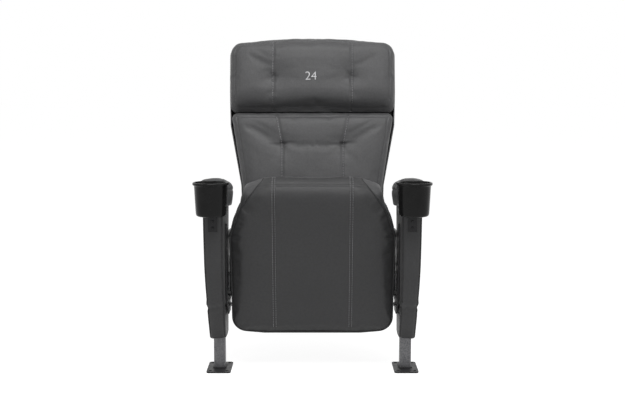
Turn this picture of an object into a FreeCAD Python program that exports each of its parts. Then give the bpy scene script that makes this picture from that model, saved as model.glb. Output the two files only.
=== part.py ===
"""Cinema seat with a tip-up seat, a rocking back, upholstered arm panels and cup holders.

Millimetres, +Z up, the sitter faces -Y, +X to the right of a viewer in front of the seat.
The origin is on the floor, at the centre of the bounding box. The seat is tipped up at rest.
"""

import FreeCAD, Part
import Sketcher
import math
import os
import re

V = FreeCAD.Vector
X_AXIS = V(1, 0, 0)
Y_AXIS = V(0, 1, 0)
Z_AXIS = V(0, 0, 1)
SIDES = {"left": -1, "right": 1}

doc = FreeCAD.newDocument("CinemaSeat")
sheet = doc.addObject("Spreadsheet::Sheet", "Sizes")

# Driving dimensions: name, value or sum of earlier sizes, meaning
SIZES = [
    ("stand_half_span", 302, "post centre to the middle of the seat"),
    ("stand_y", 29.6, "post centre behind the middle of the footprint"),
    ("plate_width", 78, "foot plate, across"),
    ("plate_length", 125, "foot plate, front to back"),
    ("plate_front", 70, "foot plate's front edge before the post centre"),
    ("plate_thickness", 5, "foot plate"),
    ("plate_corner", 9, "foot plate's corner radius"),
    ("anchor_spacing_x", 54, "anchor holes, across"),
    ("anchor_spacing_y", 98, "anchor holes, front to back"),
    ("anchor_hole_r", 5.5, "anchor hole radius"),
    ("post_width", 36, "post tube, across"),
    ("post_depth", 45, "post tube, front to back"),
    ("post_wall", 2.5, "post tube wall"),
    ("post_corner", 4, "post tube's outer corner radius"),
    ("post_fit", 0.5, "gap between post and arm panel"),
    ("panel_bottom", 113, "height of the arm panel's bottom"),
    ("panel_top", 546, "height of the arm panel's top"),
    ("post_set", 6, "post's top below the panel's top"),
    ("post_top", "panel_top - post_set", "height of the post's top"),
    ("panel_width_top", 62, "arm panel's width at its top"),
    ("panel_width_bottom", 53, "arm panel's width at its bottom"),
    ("panel_rear", 30, "arm panel's rear face behind the post centre"),
    ("panel_reach_top", 205, "panel's front before the post centre, at the cup"),
    ("panel_reach_knee", 198, "the same at the knee of the bowed front"),
    ("panel_knee", 361, "height of that knee"),
    ("panel_reach_calf", 155, "the same at the calf"),
    ("panel_calf", 259, "height of the calf"),
    ("panel_reach_bottom", 66, "the same at the bottom"),
    ("panel_crease", 229, "height of the cover's crease"),
    ("panel_crease_depth", 2.5, "how far the crease draws in"),
    ("panel_crease_half", 9, "half of the crease's height"),
    ("panel_hem", 6, "height of the panel's rounded lower edge"),
    ("panel_hem_draw", 4, "how far that edge draws in"),
    ("panel_front_corner", 14, "panel's front corner radius"),
    ("panel_rear_corner", 6, "panel's rear corner radius"),
    ("board_thickness", 10, "armrest board"),
    ("board_width", 72, "armrest board, across"),
    ("armrest_rise_front", 95, "armrest's crown above the panel's top, at the front"),
    ("armrest_rise_back", 66, "the same at the rear"),
    ("armrest_top_front", "panel_top + armrest_rise_front", "height of the armrest's crown at the front"),
    ("armrest_top_back", "panel_top + armrest_rise_back", "the same at the rear"),
    ("armrest_width", 94, "armrest pad, across"),
    ("armrest_set", 11, "armrest's front end behind the panel's front"),
    ("armrest_front", "panel_reach_top - armrest_set", "armrest's front end before the post centre"),
    ("armrest_back", 50, "armrest's rear end behind the post centre"),
    ("skirt_lift_front", 8, "skirt's edge above the panel's top, at the front"),
    ("skirt_drop_back", 18, "skirt's edge below the panel's top, at the rear"),
    ("armrest_skirt_front", "panel_top + skirt_lift_front", "height of the skirt's edge at the front"),
    ("armrest_skirt_back", "panel_top - skirt_drop_back", "height of the skirt's edge at the rear"),
    ("armrest_crown", 6, "rise of the armrest's crown"),
    ("armrest_crown_r", 110, "radius over the crown"),
    ("armrest_edge", 22, "armrest's upper edge radius"),
    ("armrest_tuck", 5, "how far the skirt's edge tucks in"),
    ("armrest_hem", 4, "radius of the skirt's edge"),
    ("cup_stand", 48, "cup's axis before the panel's front"),
    ("cup_reach", "panel_reach_top + cup_stand", "cup's axis before the post centre"),
    ("cup_set", 15, "cup's underside below the panel's top"),
    ("cup_bottom", "panel_top - cup_set", "height of the cup's underside"),
    ("cup_height", 102, "cup, to the top of the rim"),
    ("cup_rim_r", 54, "rim radius"),
    ("cup_rim_height", 9, "rim height"),
    ("cup_rim_edge", 2, "bevel of the rim's edges"),
    ("cup_top_r", 49, "body radius under the rim"),
    ("cup_base_r", 45, "body radius at the base"),
    ("cup_base_edge", 8, "base edge radius"),
    ("cup_wall", 2.5, "cup wall"),
    ("bracket_thickness", 3, "cup bracket steel"),
    ("bracket_width", 28, "cup bracket, across"),
    ("bracket_drop", 54, "cup bracket's upright leg"),
    ("bracket_shelf", 70, "cup bracket's shelf"),
    ("cup_screw_r", 2.2, "cup bracket screw"),
    ("cup_screw_head_r", 4.8, "its head"),
    ("cup_screw_head", 3, "its head's height"),
    ("cup_screw_length", 14, "its length in the panel"),
    ("cup_screw_low", 12, "lower bracket screw above the bracket's foot"),
    ("cup_screw_high", 32, "upper bracket screw above the bracket's foot"),
    ("screw_head_taper", 0.6, "outer radius of a screw head to its seat's radius"),
    ("hinge_set", 36, "hinge plate's inner face inside the post centre"),
    ("hinge_inner", "stand_half_span - hinge_set", "hinge plate's inner face from the middle of the seat"),
    ("hinge_thickness", 5, "hinge plate"),
    ("hinge_corner", 9, "hinge plate's corner radius"),
    ("hinge_foot", 102, "hinge plate's foot below the seat pivot"),
    ("hinge_foot_front", 8, "the foot's front corner before the seat pivot"),
    ("hinge_rear", 17, "hinge plate's rear edge behind its bolts"),
    ("hinge_waist", 44, "where that edge turns back, above the seat pivot"),
    ("hinge_back_half", 27, "hinge plate behind the back pivot"),
    ("hinge_back_low", 52, "its rear corner below the back pivot"),
    ("hinge_back_high", 20, "its upper edge above the back pivot"),
    ("hinge_back_front", 43, "front end of that upper edge before the back pivot"),
    ("hinge_horn_rear", 30, "front horn's root before the seat pivot"),
    ("hinge_horn_root", 34, "the same above the back pivot"),
    ("hinge_horn_tip", 74, "front horn's tip before the seat pivot"),
    ("hinge_horn_top", 61, "the same above the back pivot"),
    ("hinge_horn_front", 92, "front horn's front corner before the seat pivot"),
    ("hinge_horn_low", 52, "the same above the back pivot"),
    ("hinge_belly", 76, "hinge plate before the seat pivot"),
    ("hinge_belly_high", 10, "the same, above the pivot"),
    ("hinge_chin", 58, "hinge plate's lower front corner before and below the seat pivot"),
    ("hinge_bolt_r", 4, "hinge plate bolt"),
    ("hinge_bolt_head_r", 8, "its head"),
    ("hinge_bolt_head", 3.5, "its head's height"),
    ("hinge_bolt_tail", 8, "bolt end inside the post's wall"),
    ("hinge_bolt_hole_r", 4.3, "bolt hole"),
    ("hinge_bolt_y", -5, "bolts behind the post centre"),
    ("hinge_bolt_low", 212, "height of the lowest bolt"),
    ("hinge_bolt_middle", 345, "height of the middle bolt"),
    ("hinge_bolt_high", 436, "height of the highest bolt"),
    ("spacer_r", 8, "spacer between plate and post"),
    ("fit_gap", 0.2, "gap round a part that is bedded in foam"),
    ("seat_pivot_y", -50, "seat pivot behind the post centre"),
    ("seat_pivot_z", 293, "height of the seat pivot"),
    ("seat_up_angle", 79, "slope of the tipped-up seat"),
    ("seat_travel", 70, "how far the seat tips down"),
    ("back_pivot_y", 38, "back pivot behind the post centre"),
    ("back_pivot_z", 432, "height of the back pivot"),
    ("back_lean", 13, "lean of the back at rest"),
    ("back_travel", 12, "how far the back rocks"),
    ("pin_r", 7, "pivot pin"),
    ("pin_bore_r", 5.1, "bore for the torsion bar"),
    ("pin_reach", 22, "pin's inner end inside the hinge plate's inner face"),
    ("pin_inner", "hinge_inner - pin_reach", "pin's inner end from the middle"),
    ("pin_end_gap", 0.5, "pin end to the hinge plate's outer face"),
    ("running_gap", 0.05, "radial clearance of pins in bushes"),
    ("press_gap", 0.02, "radial clearance of pressed parts"),
    ("bush_r", 10, "bush, outside"),
    ("back_bush_proud", 2, "back bush before the hinge plate"),
    ("block_thickness", 4.2, "pivot block"),
    ("block_width", 42, "pivot block, front to back"),
    ("block_height", 66, "pivot block, up"),
    ("block_corner", 8, "pivot block's corner radius"),
    ("bar_r", 4.5, "torsion bar"),
    ("bar_short", 61, "torsion bar's free end inside the hinge plate's inner face"),
    ("bar_end", "hinge_inner - bar_short", "torsion bar's free end from the middle"),
    ("anchor_disc_r", 18, "torsion bar's anchor disc"),
    ("anchor_disc_thickness", 5, "the same"),
    ("plug_length", 30, "torsion plug in the pivot tube"),
    ("seat_room", 9, "hinge plate to the seat's side"),
    ("seat_half_width", "hinge_inner - seat_room", "half of the seat's width"),
    ("under_shoulder_in", 43, "draw-in of the underside at the armrests"),
    ("under_nose_in", 69, "draw-in of the underside at the nose"),
    ("under_nose_drop", 30, "how far the underside's nose corners sit back"),
    ("cushion_shoulder_in", 31, "draw-in of the cushion at the armrests"),
    ("cushion_nose_in", 44, "draw-in of the cushion at the nose"),
    ("cushion_nose_drop", 24, "how far the cushion's nose corners sit back"),
    ("seat_crest_share", 0.68, "the nose's straight middle to the width between its corners"),
    ("seat_taper_start", 190, "where the sides start to draw in, from the pivot"),
    ("seat_shoulder", 258, "where the shoulder ends, from the pivot"),
    ("seat_rear", 155, "rear edge behind the pivot"),
    ("seat_rear_bow", 9, "how far the rear edge bows out"),
    ("seat_rear_share", 0.6, "the rear edge's straight middle to the seat's width"),
    ("seat_rear_draw", 3, "how far the rear corners draw in"),
    ("seat_rear_corner", 46, "rear corner radius"),
    ("seat_nose_corner", 20, "nose corner radius"),
    ("seat_bend_r", 40, "radius of the bends along the sides"),
    ("seat_nose_follow", 0.6, "share of the sides' draw-in that the nose follows"),
    ("seat_flat_r", 70, "radius where the straight middles end"),
    ("seat_neck_gap", 24, "least run from the shoulder's end to the nose corner"),
    ("seat_taper_gap", 40, "least run of the taper"),
    ("seat_nose_centre", 282, "nose roll's centre from the pivot"),
    ("seat_nose_r", 65, "nose roll radius"),
    ("seat_under", -50, "underside below the pivot"),
    ("underside_thickness", 17.5, "underside pad"),
    ("seat_board_thickness", 12, "seat board"),
    ("seat_board_inset", 9, "board inside the outline"),
    ("seat_bar_width", 30, "seat frame bar"),
    ("seat_bar_in", 67, "side bar from the seat's side"),
    ("seat_bar_centre", "seat_half_width - seat_bar_in", "side bar from the middle"),
    ("seat_bar_front", 250, "side bar's front end from the pivot"),
    ("seat_bar_rear", 120, "side bar's rear end behind the pivot"),
    ("seat_front_bar", 215, "front bar from the pivot"),
    ("seat_tube_r", 13, "seat pivot tube"),
    ("seat_tube_wall", 3, "its wall"),
    ("seat_crown", 7, "rise of the cushion's crown"),
    ("seam_depth", 3, "sewn channel's depth"),
    ("seam_half_width", 5, "half of a sewn channel's width"),
    ("underside_seam", 120, "underside seams from the middle"),
    ("side_gap", 0.5, "seat arm to the cushion's side"),
    ("seat_arm_thickness", 4, "seat arm plate"),
    ("seat_arm_r", 34, "seat arm plate"),
    ("seat_tongue_half", 21, "half of the front tongue's width"),
    ("seat_tongue_corner", 12.5, "tongue's corner radius"),
    ("seat_lug_reach", 62, "stop lug's end from the pivot"),
    ("seat_lug_half", 8, "half of the lug's width"),
    ("seat_lug_angle", 220, "lug's direction at rest, from the rear, upwards"),
    ("seat_tongue_reach", 96, "seat arm's front tongue from the pivot"),
    ("seat_stop_radius", 54, "stop studs from the pivot"),
    ("stop_stud_r", 6, "stop stud with its sleeve"),
    ("stop_gap", 0.4, "lug to stud at the end of travel"),
    ("crank_room", 7, "hinge plate to the back crank's inner face"),
    ("crank_inner", "hinge_inner - crank_room", "back crank's inner face from the middle"),
    ("crank_thickness", 4, "back crank"),
    ("crank_r", 19, "back crank"),
    ("crank_lug_reach", 41, "crank lug's end from the pivot"),
    ("crank_lug_half", 6, "half of the crank lug's width"),
    ("crank_stop_radius", 34, "recline studs from the pivot"),
    ("crank_lug_angle", 270, "crank lug's direction at rest"),
    ("stud_reach", 7.5, "studs inside the hinge plate's inner face"),
    ("back_tube_r", 12.5, "back pivot tube"),
    ("back_tube_wall", 3, "its wall"),
    ("back_tube_room", 23, "hinge plate to the back pivot tube's end"),
    ("back_tube_half", "hinge_inner - back_tube_room", "half of the back pivot tube's length"),
    ("back_front", -27, "back cushions' front before the pivot"),
    ("cushion_back", 38, "back cushions' rear face behind the pivot"),
    ("back_board_thickness", 10, "back board"),
    ("back_frame_depth", 15, "back frame tubes, front to back"),
    ("upright_width", 25, "back upright, across"),
    ("upright_top", 590, "top of the uprights above the pivot"),
    ("mid_rail_z", 300, "middle rail above the pivot"),
    ("link_height", 24, "back link"),
    ("link_width", 10, "back link, across"),
    ("back_bottom", 18, "lumbar cushion's bottom above the pivot"),
    ("cushion_split", 405, "gap between the two cushions, above the pivot"),
    ("split_half", 2, "half of that gap"),
    ("back_top", 633, "headrest's top corners above the pivot"),
    ("back_room", 38, "hinge plate to the back's bottom corner"),
    ("back_half_bottom", "hinge_inner - back_room", "half of the back's width at its bottom"),
    ("upright_in", 40, "back upright inside the back's bottom width"),
    ("upright_centre", "back_half_bottom - upright_in", "back upright from the middle"),
    ("back_flare_arm", 6, "how much further out the side is between the armrests"),
    ("back_half_arm", "back_half_bottom + back_flare_arm", "half width between the armrests"),
    ("back_arm_level", 166, "height of that width above the pivot"),
    ("back_flare_shoulder", 43, "the same at the shoulder"),
    ("back_half_shoulder", "back_half_bottom + back_flare_shoulder", "half width at the shoulder"),
    ("back_shoulder_level", 366, "height of the shoulder above the pivot"),
    ("back_flare_head", 46, "the same at the head"),
    ("back_half_head", "back_half_bottom + back_flare_head", "half width at the head"),
    ("back_head_level", 480, "height of that width above the pivot"),
    ("back_top_corner", 38, "top corner radius"),
    ("back_bottom_corner", 22, "bottom corner radius"),
    ("back_arch", 19.5, "rise of the top edge"),
    ("shell_wall", 4, "rear shell"),
    ("shell_bulge", 10, "rear shell's bulge"),
    ("shell_front", 14, "shell's front edge behind the pivot"),
    ("shell_room", 0.5, "shell behind the frame tubes"),
    ("shell_side_gap", 0.5, "cushion to shell"),
    ("shell_drop", 22, "shell's bottom edge below the links"),
    ("cushion_crown", 7, "rise of the back cushions' crown"),
    ("cushion_corner", 14, "corner radius of the cushions at the gap between them"),
    ("board_inset", 2, "back board inside the cushions' outline"),
    ("back_bend_r", 60, "radius of the bends along the back's sides"),
    ("back_arch_r", 250, "radius along the top edge"),
    ("headrest_lead", 20, "headrest's front before the lumbar's"),
    ("head_seam", 133, "headrest seams from the middle"),
    ("head_tuft_z", 530, "headrest tufts above the pivot"),
    ("lumbar_seam_top", 121, "lumbar seams from the middle, at the top"),
    ("lumbar_seam_low", 101, "the same from the tufts down"),
    ("lumbar_tuft_z", 286, "lumbar tufts above the pivot"),
    ("tuft_r", 17, "tuft's dimple"),
    ("tuft_floor_r", 2, "the dimple's floor"),
    ("tuft_depth", 11, "tuft's depth"),
    ("shell_screw_r", 2.5, "shell screw"),
    ("shell_screw_head_r", 6, "its head"),
    ("shell_screw_head", 3, "its head's height"),
    ("shell_screw_length", 14, "its length in the upright"),
    ("shell_screw_low", 96, "lowest pair of screws above the pivot"),
    ("shell_screw_middle", 350, "middle pair"),
    ("shell_screw_high", 530, "highest pair"),
]

for row, (alias, value, meaning) in enumerate(SIZES, start=1):
    sheet.set(f"A{row}", alias)
    sheet.setAlias(f"B{row}", alias)
    sheet.set(f"B{row}", f"={value}")
    sheet.set(f"C{row}", meaning)
doc.recompute()


def sized(text):
    """An expression whose size names point at the cells of the sheet."""
    names = {alias for alias, _, _ in SIZES}
    return re.sub(r"[a-z][a-z_]*", lambda m: "Sizes." + m[0] if m[0] in names else m[0], str(text))


def size(text):
    """The value of a size, or of a sum of sizes, as a number."""
    return float(sheet.evalExpression(sized(text)))


# Frames: the fixed stand, the seat about its pivot (modelled level) and the back about its pivot (upright)
FRAMES = {
    "stand": ("stand_y", "0", "0"),
    "seat": ("stand_y + seat_pivot_y", "seat_pivot_z", "-seat_up_angle"),
    "back": ("stand_y + back_pivot_y", "back_pivot_z", "-back_lean"),
}

pieces = []


def place(piece, frame, centre_x="0"):
    """Puts a piece in its frame and adds it to the pieces that are written."""
    base_y, base_z, turn = FRAMES[frame]
    piece.Placement = FreeCAD.Placement(V(0, 0, 0), FreeCAD.Rotation(X_AXIS, 10))
    piece.setExpression("Placement.Base.x", sized(centre_x))
    piece.setExpression("Placement.Base.y", sized(base_y))
    piece.setExpression("Placement.Base.z", sized(base_z))
    piece.setExpression("Placement.Rotation.Angle", sized(turn))
    pieces.append(piece)
    return piece


def new_sketch(body, name, role, start):
    """A sketch on one of the body's own planes, moved out along its normal."""
    sketch = body.newObject("Sketcher::SketchObject", name)
    plane = [f for f in body.Origin.OriginFeatures if f.Role == role][0]
    sketch.AttachmentSupport = [(plane, "")]
    sketch.MapMode = "FlatFace"
    sketch.setExpression("AttachmentOffset.Base.z", sized(start))
    return sketch


def pin_point(sketch, geometry, point, across, up):
    """Holds a sketch point at two sizes from the sketch's origin."""
    for kind, where in (("DistanceX", across), ("DistanceY", up)):
        index = sketch.addConstraint(
            Sketcher.Constraint(kind, -1, 1, geometry, point, size(where))
        )
        sketch.setExpression(f"Constraints[{index}]", sized(where))


def draw_polygon(sketch, corners):
    """A closed outline of straight lines through corners given as pairs of sizes."""
    points = [V(size(a), size(b), 0) for a, b in corners]
    count = len(points)
    first = sketch.GeometryCount
    for i in range(count):
        sketch.addGeometry(Part.LineSegment(points[i], points[(i + 1) % count]))
    for i in range(count):
        here = first + i
        after = first + (i + 1) % count
        sketch.addConstraint(Sketcher.Constraint("Coincident", here, 2, after, 1))
        pin_point(sketch, here, 1, *corners[i])


def draw_circle(sketch, across, up, radius):
    """A circle whose centre and radius are sizes."""
    centre = V(size(across), size(up), 0)
    index = sketch.addGeometry(Part.Circle(centre, Z_AXIS, size(radius)))
    pin_point(sketch, index, 3, across, up)
    rule = sketch.addConstraint(Sketcher.Constraint("Radius", index, size(radius)))
    sketch.setExpression(f"Constraints[{rule}]", sized(radius))


def edges_along(shape, axis, length):
    """Names of the straight outer edges of a prism that run along an axis for its full length."""
    names = []
    for number, edge in enumerate(shape.Edges, start=1):
        if not isinstance(edge.Curve, Part.Line):
            continue
        run = edge.Vertexes[1].Point.sub(edge.Vertexes[0].Point)
        along = abs(run.dot(axis))
        if abs(along - length) < 1e-6 and abs(run.Length - length) < 1e-6:
            names.append(f"Edge{number}")
    return names


def prism(label, frame, role, corners, start, depth, holes=(), round_by=None, centre_x="0"):
    """A plate or block: an outline with round holes, padded along its plane's normal."""
    body = doc.addObject("PartDesign::Body", label + "_body")
    body.Label = label
    sketch = new_sketch(body, label + "_sketch", role, start)
    draw_polygon(sketch, corners)
    for hole in holes:
        draw_circle(sketch, *hole)
    pad = body.newObject("PartDesign::Pad", label + "_pad")
    pad.Profile = sketch
    pad.setExpression("Length", sized(depth))
    sketch.Visibility = False
    if round_by:
        doc.recompute()
        normal = {"XY_Plane": Z_AXIS, "XZ_Plane": Y_AXIS, "YZ_Plane": X_AXIS}[role]
        fillet = body.newObject("PartDesign::Fillet", label + "_fillet")
        fillet.Base = (pad, edges_along(pad.Shape, normal, size(depth)))
        fillet.setExpression("Radius", sized(round_by))
    return place(body, frame, centre_x)


def rod(label, frame, start, length, radius, bore=None, across="0", up="0"):
    """A round bar, tube or disc along X, with its near face at start."""
    body = doc.addObject("PartDesign::Body", label + "_body")
    body.Label = label
    sketch = new_sketch(body, label + "_sketch", "YZ_Plane", start)
    draw_circle(sketch, across, up, radius)
    if bore:
        draw_circle(sketch, across, up, bore)
    pad = body.newObject("PartDesign::Pad", label + "_pad")
    pad.Profile = sketch
    pad.setExpression("Length", sized(length))
    return place(body, frame)


def box_corners(low_a, high_a, low_b, high_b):
    """The four corners of a rectangle between sizes."""
    return [(low_a, low_b), (high_a, low_b), (high_a, high_b), (low_a, high_b)]


def outward(side, near, length):
    """Where a prism along X starts, so that it lies from near outwards on that side."""
    return near if side > 0 else f"-({near}) - ({length})"


def solid(label, frame, shape, centre_x="0"):
    """A piece whose form comes from lofts or from a group of like solids."""
    piece = doc.addObject("Part::Feature", label + "_form")
    piece.Label = label
    piece.Shape = shape
    return place(piece, frame, centre_x)


def cut_from(piece, tools):
    """Takes the tools out of a shape."""
    return piece.cut(Part.makeCompound(tools)).Solids[0]


def x_cylinder(radius, start, end, y=0, z=0):
    """A cylinder along X between two places."""
    low = min(start, end)
    return Part.makeCylinder(radius, abs(end - start), V(low, y, z), X_AXIS)


def rounded(points, radii):
    """A closed wire through points, with an arc of its own radius at each corner that has one."""
    count = len(points)
    arcs = []
    for i, point in enumerate(points):
        before = points[i - 1].sub(point)
        after = points[(i + 1) % count].sub(point)
        if radii[i] <= 0:
            arcs.append((point, None, point))
            continue
        half = before.getAngle(after) / 2
        back = radii[i] / math.tan(half)
        start = point.add(V(before).normalize().multiply(back))
        end = point.add(V(after).normalize().multiply(back))
        inward = V(before).normalize().add(V(after).normalize()).normalize()
        centre = point.add(V(inward).multiply(radii[i] / math.sin(half)))
        middle = centre.sub(V(inward).multiply(radii[i]))
        arcs.append((start, middle, end))
    edges = []
    for i in range(count):
        start, middle, end = arcs[i]
        if middle:
            edges.append(Part.Arc(start, middle, end).toShape())
        edges.append(Part.LineSegment(end, arcs[(i + 1) % count][0]).toShape())
    return Part.Wire(edges)


def loft(wires):
    """A closed solid through like sections."""
    return Part.makeLoft(wires, True, True)


def wedge(start, end, towards, depth, half_width):
    """A V-shaped tool along a line, opening towards one side: it cuts a sewn channel."""
    run = end.sub(start)
    side = run.cross(towards).normalize().multiply(half_width)
    out = V(towards).normalize().multiply(depth)
    tip = start.sub(out)
    face = Part.Face(
        Part.makePolygon([start.add(side).add(out), start.sub(side).add(out), tip, start.add(side).add(out)])
    )
    return face.extrude(run)


# Feet: a flat plate with four anchor holes, and a rectangular tube on it
def foot(name, side):
    middle = f"{side} * stand_half_span"
    centre = "plate_length / 2 - plate_front"
    plate = box_corners("-plate_width / 2", "plate_width / 2", "-plate_front", "plate_length - plate_front")
    holes = [
        (f"{a} * anchor_spacing_x / 2", f"{centre} + {b} * anchor_spacing_y / 2", "anchor_hole_r")
        for a in (-1, 1)
        for b in (-1, 1)
    ]
    prism(f"foot_plate_{name}", "stand", "XY_Plane", plate, "0", "plate_thickness", holes, "plate_corner", middle)


def leg_post(name, side):
    wide, deep, wall = size("post_width"), size("post_depth"), size("post_wall")
    low, high = size("plate_thickness"), size("post_top")
    corner = size("post_corner")
    outer, inner = [
        rounded([V(a * w, b * d, low) for a, b in ((-1, -1), (1, -1), (1, 1), (-1, 1))], [r] * 4)
        for w, d, r in ((wide / 2, deep / 2, corner), (wide / 2 - wall, deep / 2 - wall, corner - wall))
    ]
    up = V(0, 0, high - low)
    shape = Part.Face(outer).extrude(up).cut(Part.Face(inner).extrude(up))
    bolts = [
        x_cylinder(size("hinge_bolt_hole_r"), 0, -side * wide, size("hinge_bolt_y"), size(level))
        for level in BOLT_LEVELS
    ]
    solid(f"leg_post_{name}", "stand", cut_from(shape, bolts), f"{side} * stand_half_span")


BOLT_LEVELS = ["hinge_bolt_low", "hinge_bolt_middle", "hinge_bolt_high"]


# Arm panels: foam and leatherette, bowed at the front, closed round the post
def arm_panel(name, side):
    bottom, top = size("panel_bottom"), size("panel_top")
    crease, draw = size("panel_crease"), size("panel_crease_depth")
    bows = [
        (bottom, size("panel_reach_bottom")),
        (size("panel_calf"), size("panel_reach_calf")),
        (size("panel_knee"), size("panel_reach_knee")),
        ((size("panel_knee") + top) / 2, size("panel_reach_top")),
        (top, size("panel_reach_top")),
    ]

    def reach(level):
        for (low, a), (high, b) in zip(bows, bows[1:]):
            if level <= high:
                return a + (b - a) * (level - low) / (high - low)
        return bows[-1][1]

    def section(level, inset):
        share = (level - bottom) / (top - bottom)
        width = size("panel_width_bottom") + share * size("panel_width_top - panel_width_bottom")
        half = width / 2 - inset
        front = -reach(level) + inset
        rear = size("panel_rear") - inset
        corners = [V(-half, rear, level), V(half, rear, level), V(half, front, level), V(-half, front, level)]
        return rounded(corners, [size("panel_rear_corner")] * 2 + [size("panel_front_corner")] * 2)

    half_crease = size("panel_crease_half")
    levels = [
        (bottom, size("panel_hem_draw")),
        (bottom + size("panel_hem"), 0),
        (crease - half_crease, 0),
        (crease, draw),
        (crease + half_crease, 0),
        (size("panel_calf"), 0),
        (size("panel_knee"), 0),
        ((size("panel_knee") + top) / 2, 0),
        (top, 0),
    ]
    shape = loft([section(level, inset) for level, inset in levels])
    gap = size("post_fit")
    wide, deep = size("post_width") + 2 * gap, size("post_depth") + 2 * gap
    tools = [Part.makeBox(wide, deep, size("post_top") + gap, V(-wide / 2, -deep / 2, 0))]
    inner = -side * size("stand_half_span - hinge_inner")
    far = -side * size("post_width") / 2
    for level in BOLT_LEVELS:
        tools.append(x_cylinder(size("spacer_r + fit_gap"), inner, far, size("hinge_bolt_y"), size(level)))
    disc = size("anchor_disc_r + fit_gap")
    outer = -side * size("stand_half_span - hinge_inner - hinge_thickness - anchor_disc_thickness - fit_gap")
    for pivot in ("seat", "back"):
        tools.append(x_cylinder(disc, inner, outer, size(pivot + "_pivot_y"), size(pivot + "_pivot_z")))
    front = -size("panel_reach_top")
    for a, level in CUP_SCREWS:
        tools.append(
            Part.makeCylinder(size("cup_screw_r + fit_gap"), size("cup_screw_length + fit_gap"),
                              V(size(a), front, size(level)), Y_AXIS)
        )
    solid(f"arm_panel_{name}", "stand", cut_from(shape, tools), f"{side} * stand_half_span")


CUP_SCREWS = [("0", f"cup_bottom - bracket_drop + {rise}") for rise in ("cup_screw_low", "cup_screw_high")]


# Armrests: a board on the panel and a crowned pad whose skirt gets deeper to the rear
def armrest_board(name, side):
    outline = box_corners("-board_width / 2", "board_width / 2", "-armrest_front", "panel_rear")
    prism(f"armrest_board_{name}", "stand", "XY_Plane", outline, "panel_top", "board_thickness",
          round_by="panel_rear_corner", centre_x=f"{side} * stand_half_span")


def armrest_pad(name, side):
    front, back = -size("armrest_front"), size("armrest_back")
    edge = size("armrest_edge")

    def section(y, inset, drop):
        share = (y - front) / (back - front)
        low = size("armrest_skirt_front") + share * size("armrest_skirt_back - armrest_skirt_front") + drop
        top = size("armrest_top_front") + share * size("armrest_top_back - armrest_top_front") - drop
        half = size("armrest_width") / 2 - inset
        shoulder = top - size("armrest_crown")
        right = [V(half - size("armrest_tuck"), y, low), V(half, y, (low + shoulder) / 2), V(half, y, shoulder)]
        left = [V(-p.x, p.y, p.z) for p in reversed(right)]
        radii = [size("armrest_hem"), size("armrest_edge"), edge]
        return rounded(right + [V(0, y, top)] + left, radii + [size("armrest_crown_r")] + radii[::-1])

    # rounded ends: distance from the end, draw-in at the sides, draw-in at the top and the edge
    end_rows = [(0, 9, 8), (5, 3, 2), (20, 0, 0)]
    rows = [(front + off, inset, drop) for off, inset, drop in end_rows]
    rows += [(back - off, inset, drop) for off, inset, drop in reversed(end_rows)]
    shape = loft([section(*row) for row in rows])
    gap = size("fit_gap")
    half = size("board_width") / 2 + gap
    high = size("panel_top + board_thickness") + gap
    pocket = Part.makeBox(2 * half, size("panel_rear") + gap - 2 * front, high, V(-half, 2 * front, 0))
    solid(f"armrest_pad_{name}", "stand", cut_from(shape, [pocket]), f"{side} * stand_half_span")


# Cup holders: a moulded cup on a folded bracket
def cup_holder(name, side):
    label = f"cup_holder_{name}"
    body = doc.addObject("PartDesign::Body", label + "_body")
    body.Label = label
    sketch = new_sketch(body, label + "_sketch", "XZ_Plane", "0")
    low = "cup_bottom"
    high = "cup_bottom + cup_height"
    under_rim = "cup_bottom + cup_height - cup_rim_height"
    profile = [
        ("0", low),
        ("cup_base_r - cup_base_edge", low),
        ("cup_base_r - 0.3 * cup_base_edge", f"{low} + 0.3 * cup_base_edge"),
        ("cup_base_r", f"{low} + cup_base_edge"),
        ("cup_top_r", under_rim),
        ("cup_rim_r - cup_rim_edge / 2", under_rim),
        ("cup_rim_r", f"{under_rim} + cup_rim_edge / 2"),
        ("cup_rim_r", f"{high} - cup_rim_edge"),
        ("cup_rim_r - cup_rim_edge", high),
        ("cup_top_r - cup_wall + cup_rim_edge", high),
        ("cup_top_r - cup_wall", f"{high} - cup_rim_edge"),
        ("cup_base_r - cup_wall", f"{low} + cup_base_edge"),
        ("cup_base_r - cup_base_edge", f"{low} + cup_wall"),
        ("0", f"{low} + cup_wall"),
    ]
    draw_polygon(sketch, profile)
    turned = body.newObject("PartDesign::Revolution", label + "_turned")
    turned.Profile = sketch
    turned.ReferenceAxis = (sketch, ["V_Axis"])
    turned.Angle = 360
    place(body, "stand", f"{side} * stand_half_span")
    body.setExpression("Placement.Base.y", sized("stand_y - cup_reach"))


def cup_bracket(name, side):
    low = "cup_bottom - bracket_drop"
    front = "-panel_reach_top"
    corners = [
        (front, low),
        (front, "cup_bottom"),
        (f"{front} - bracket_shelf", "cup_bottom"),
        (f"{front} - bracket_shelf", "cup_bottom - bracket_thickness"),
        (f"{front} - bracket_thickness", "cup_bottom - bracket_thickness"),
        (f"{front} - bracket_thickness", low),
    ]
    label = f"cup_bracket_{name}"
    body = prism(label, "stand", "YZ_Plane", corners, "-bracket_width / 2", "bracket_width",
                 centre_x=f"{side} * stand_half_span")
    sketch = new_sketch(body, label + "_hole_sketch", "XZ_Plane", "panel_reach_top + 2 * bracket_thickness")
    for across, up in CUP_SCREWS:
        draw_circle(sketch, across, up, "cup_screw_r + fit_gap")
    holes = body.newObject("PartDesign::Pocket", label + "_holes")
    holes.Profile = sketch
    holes.setExpression("Length", sized("2 * bracket_thickness"))


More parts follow.
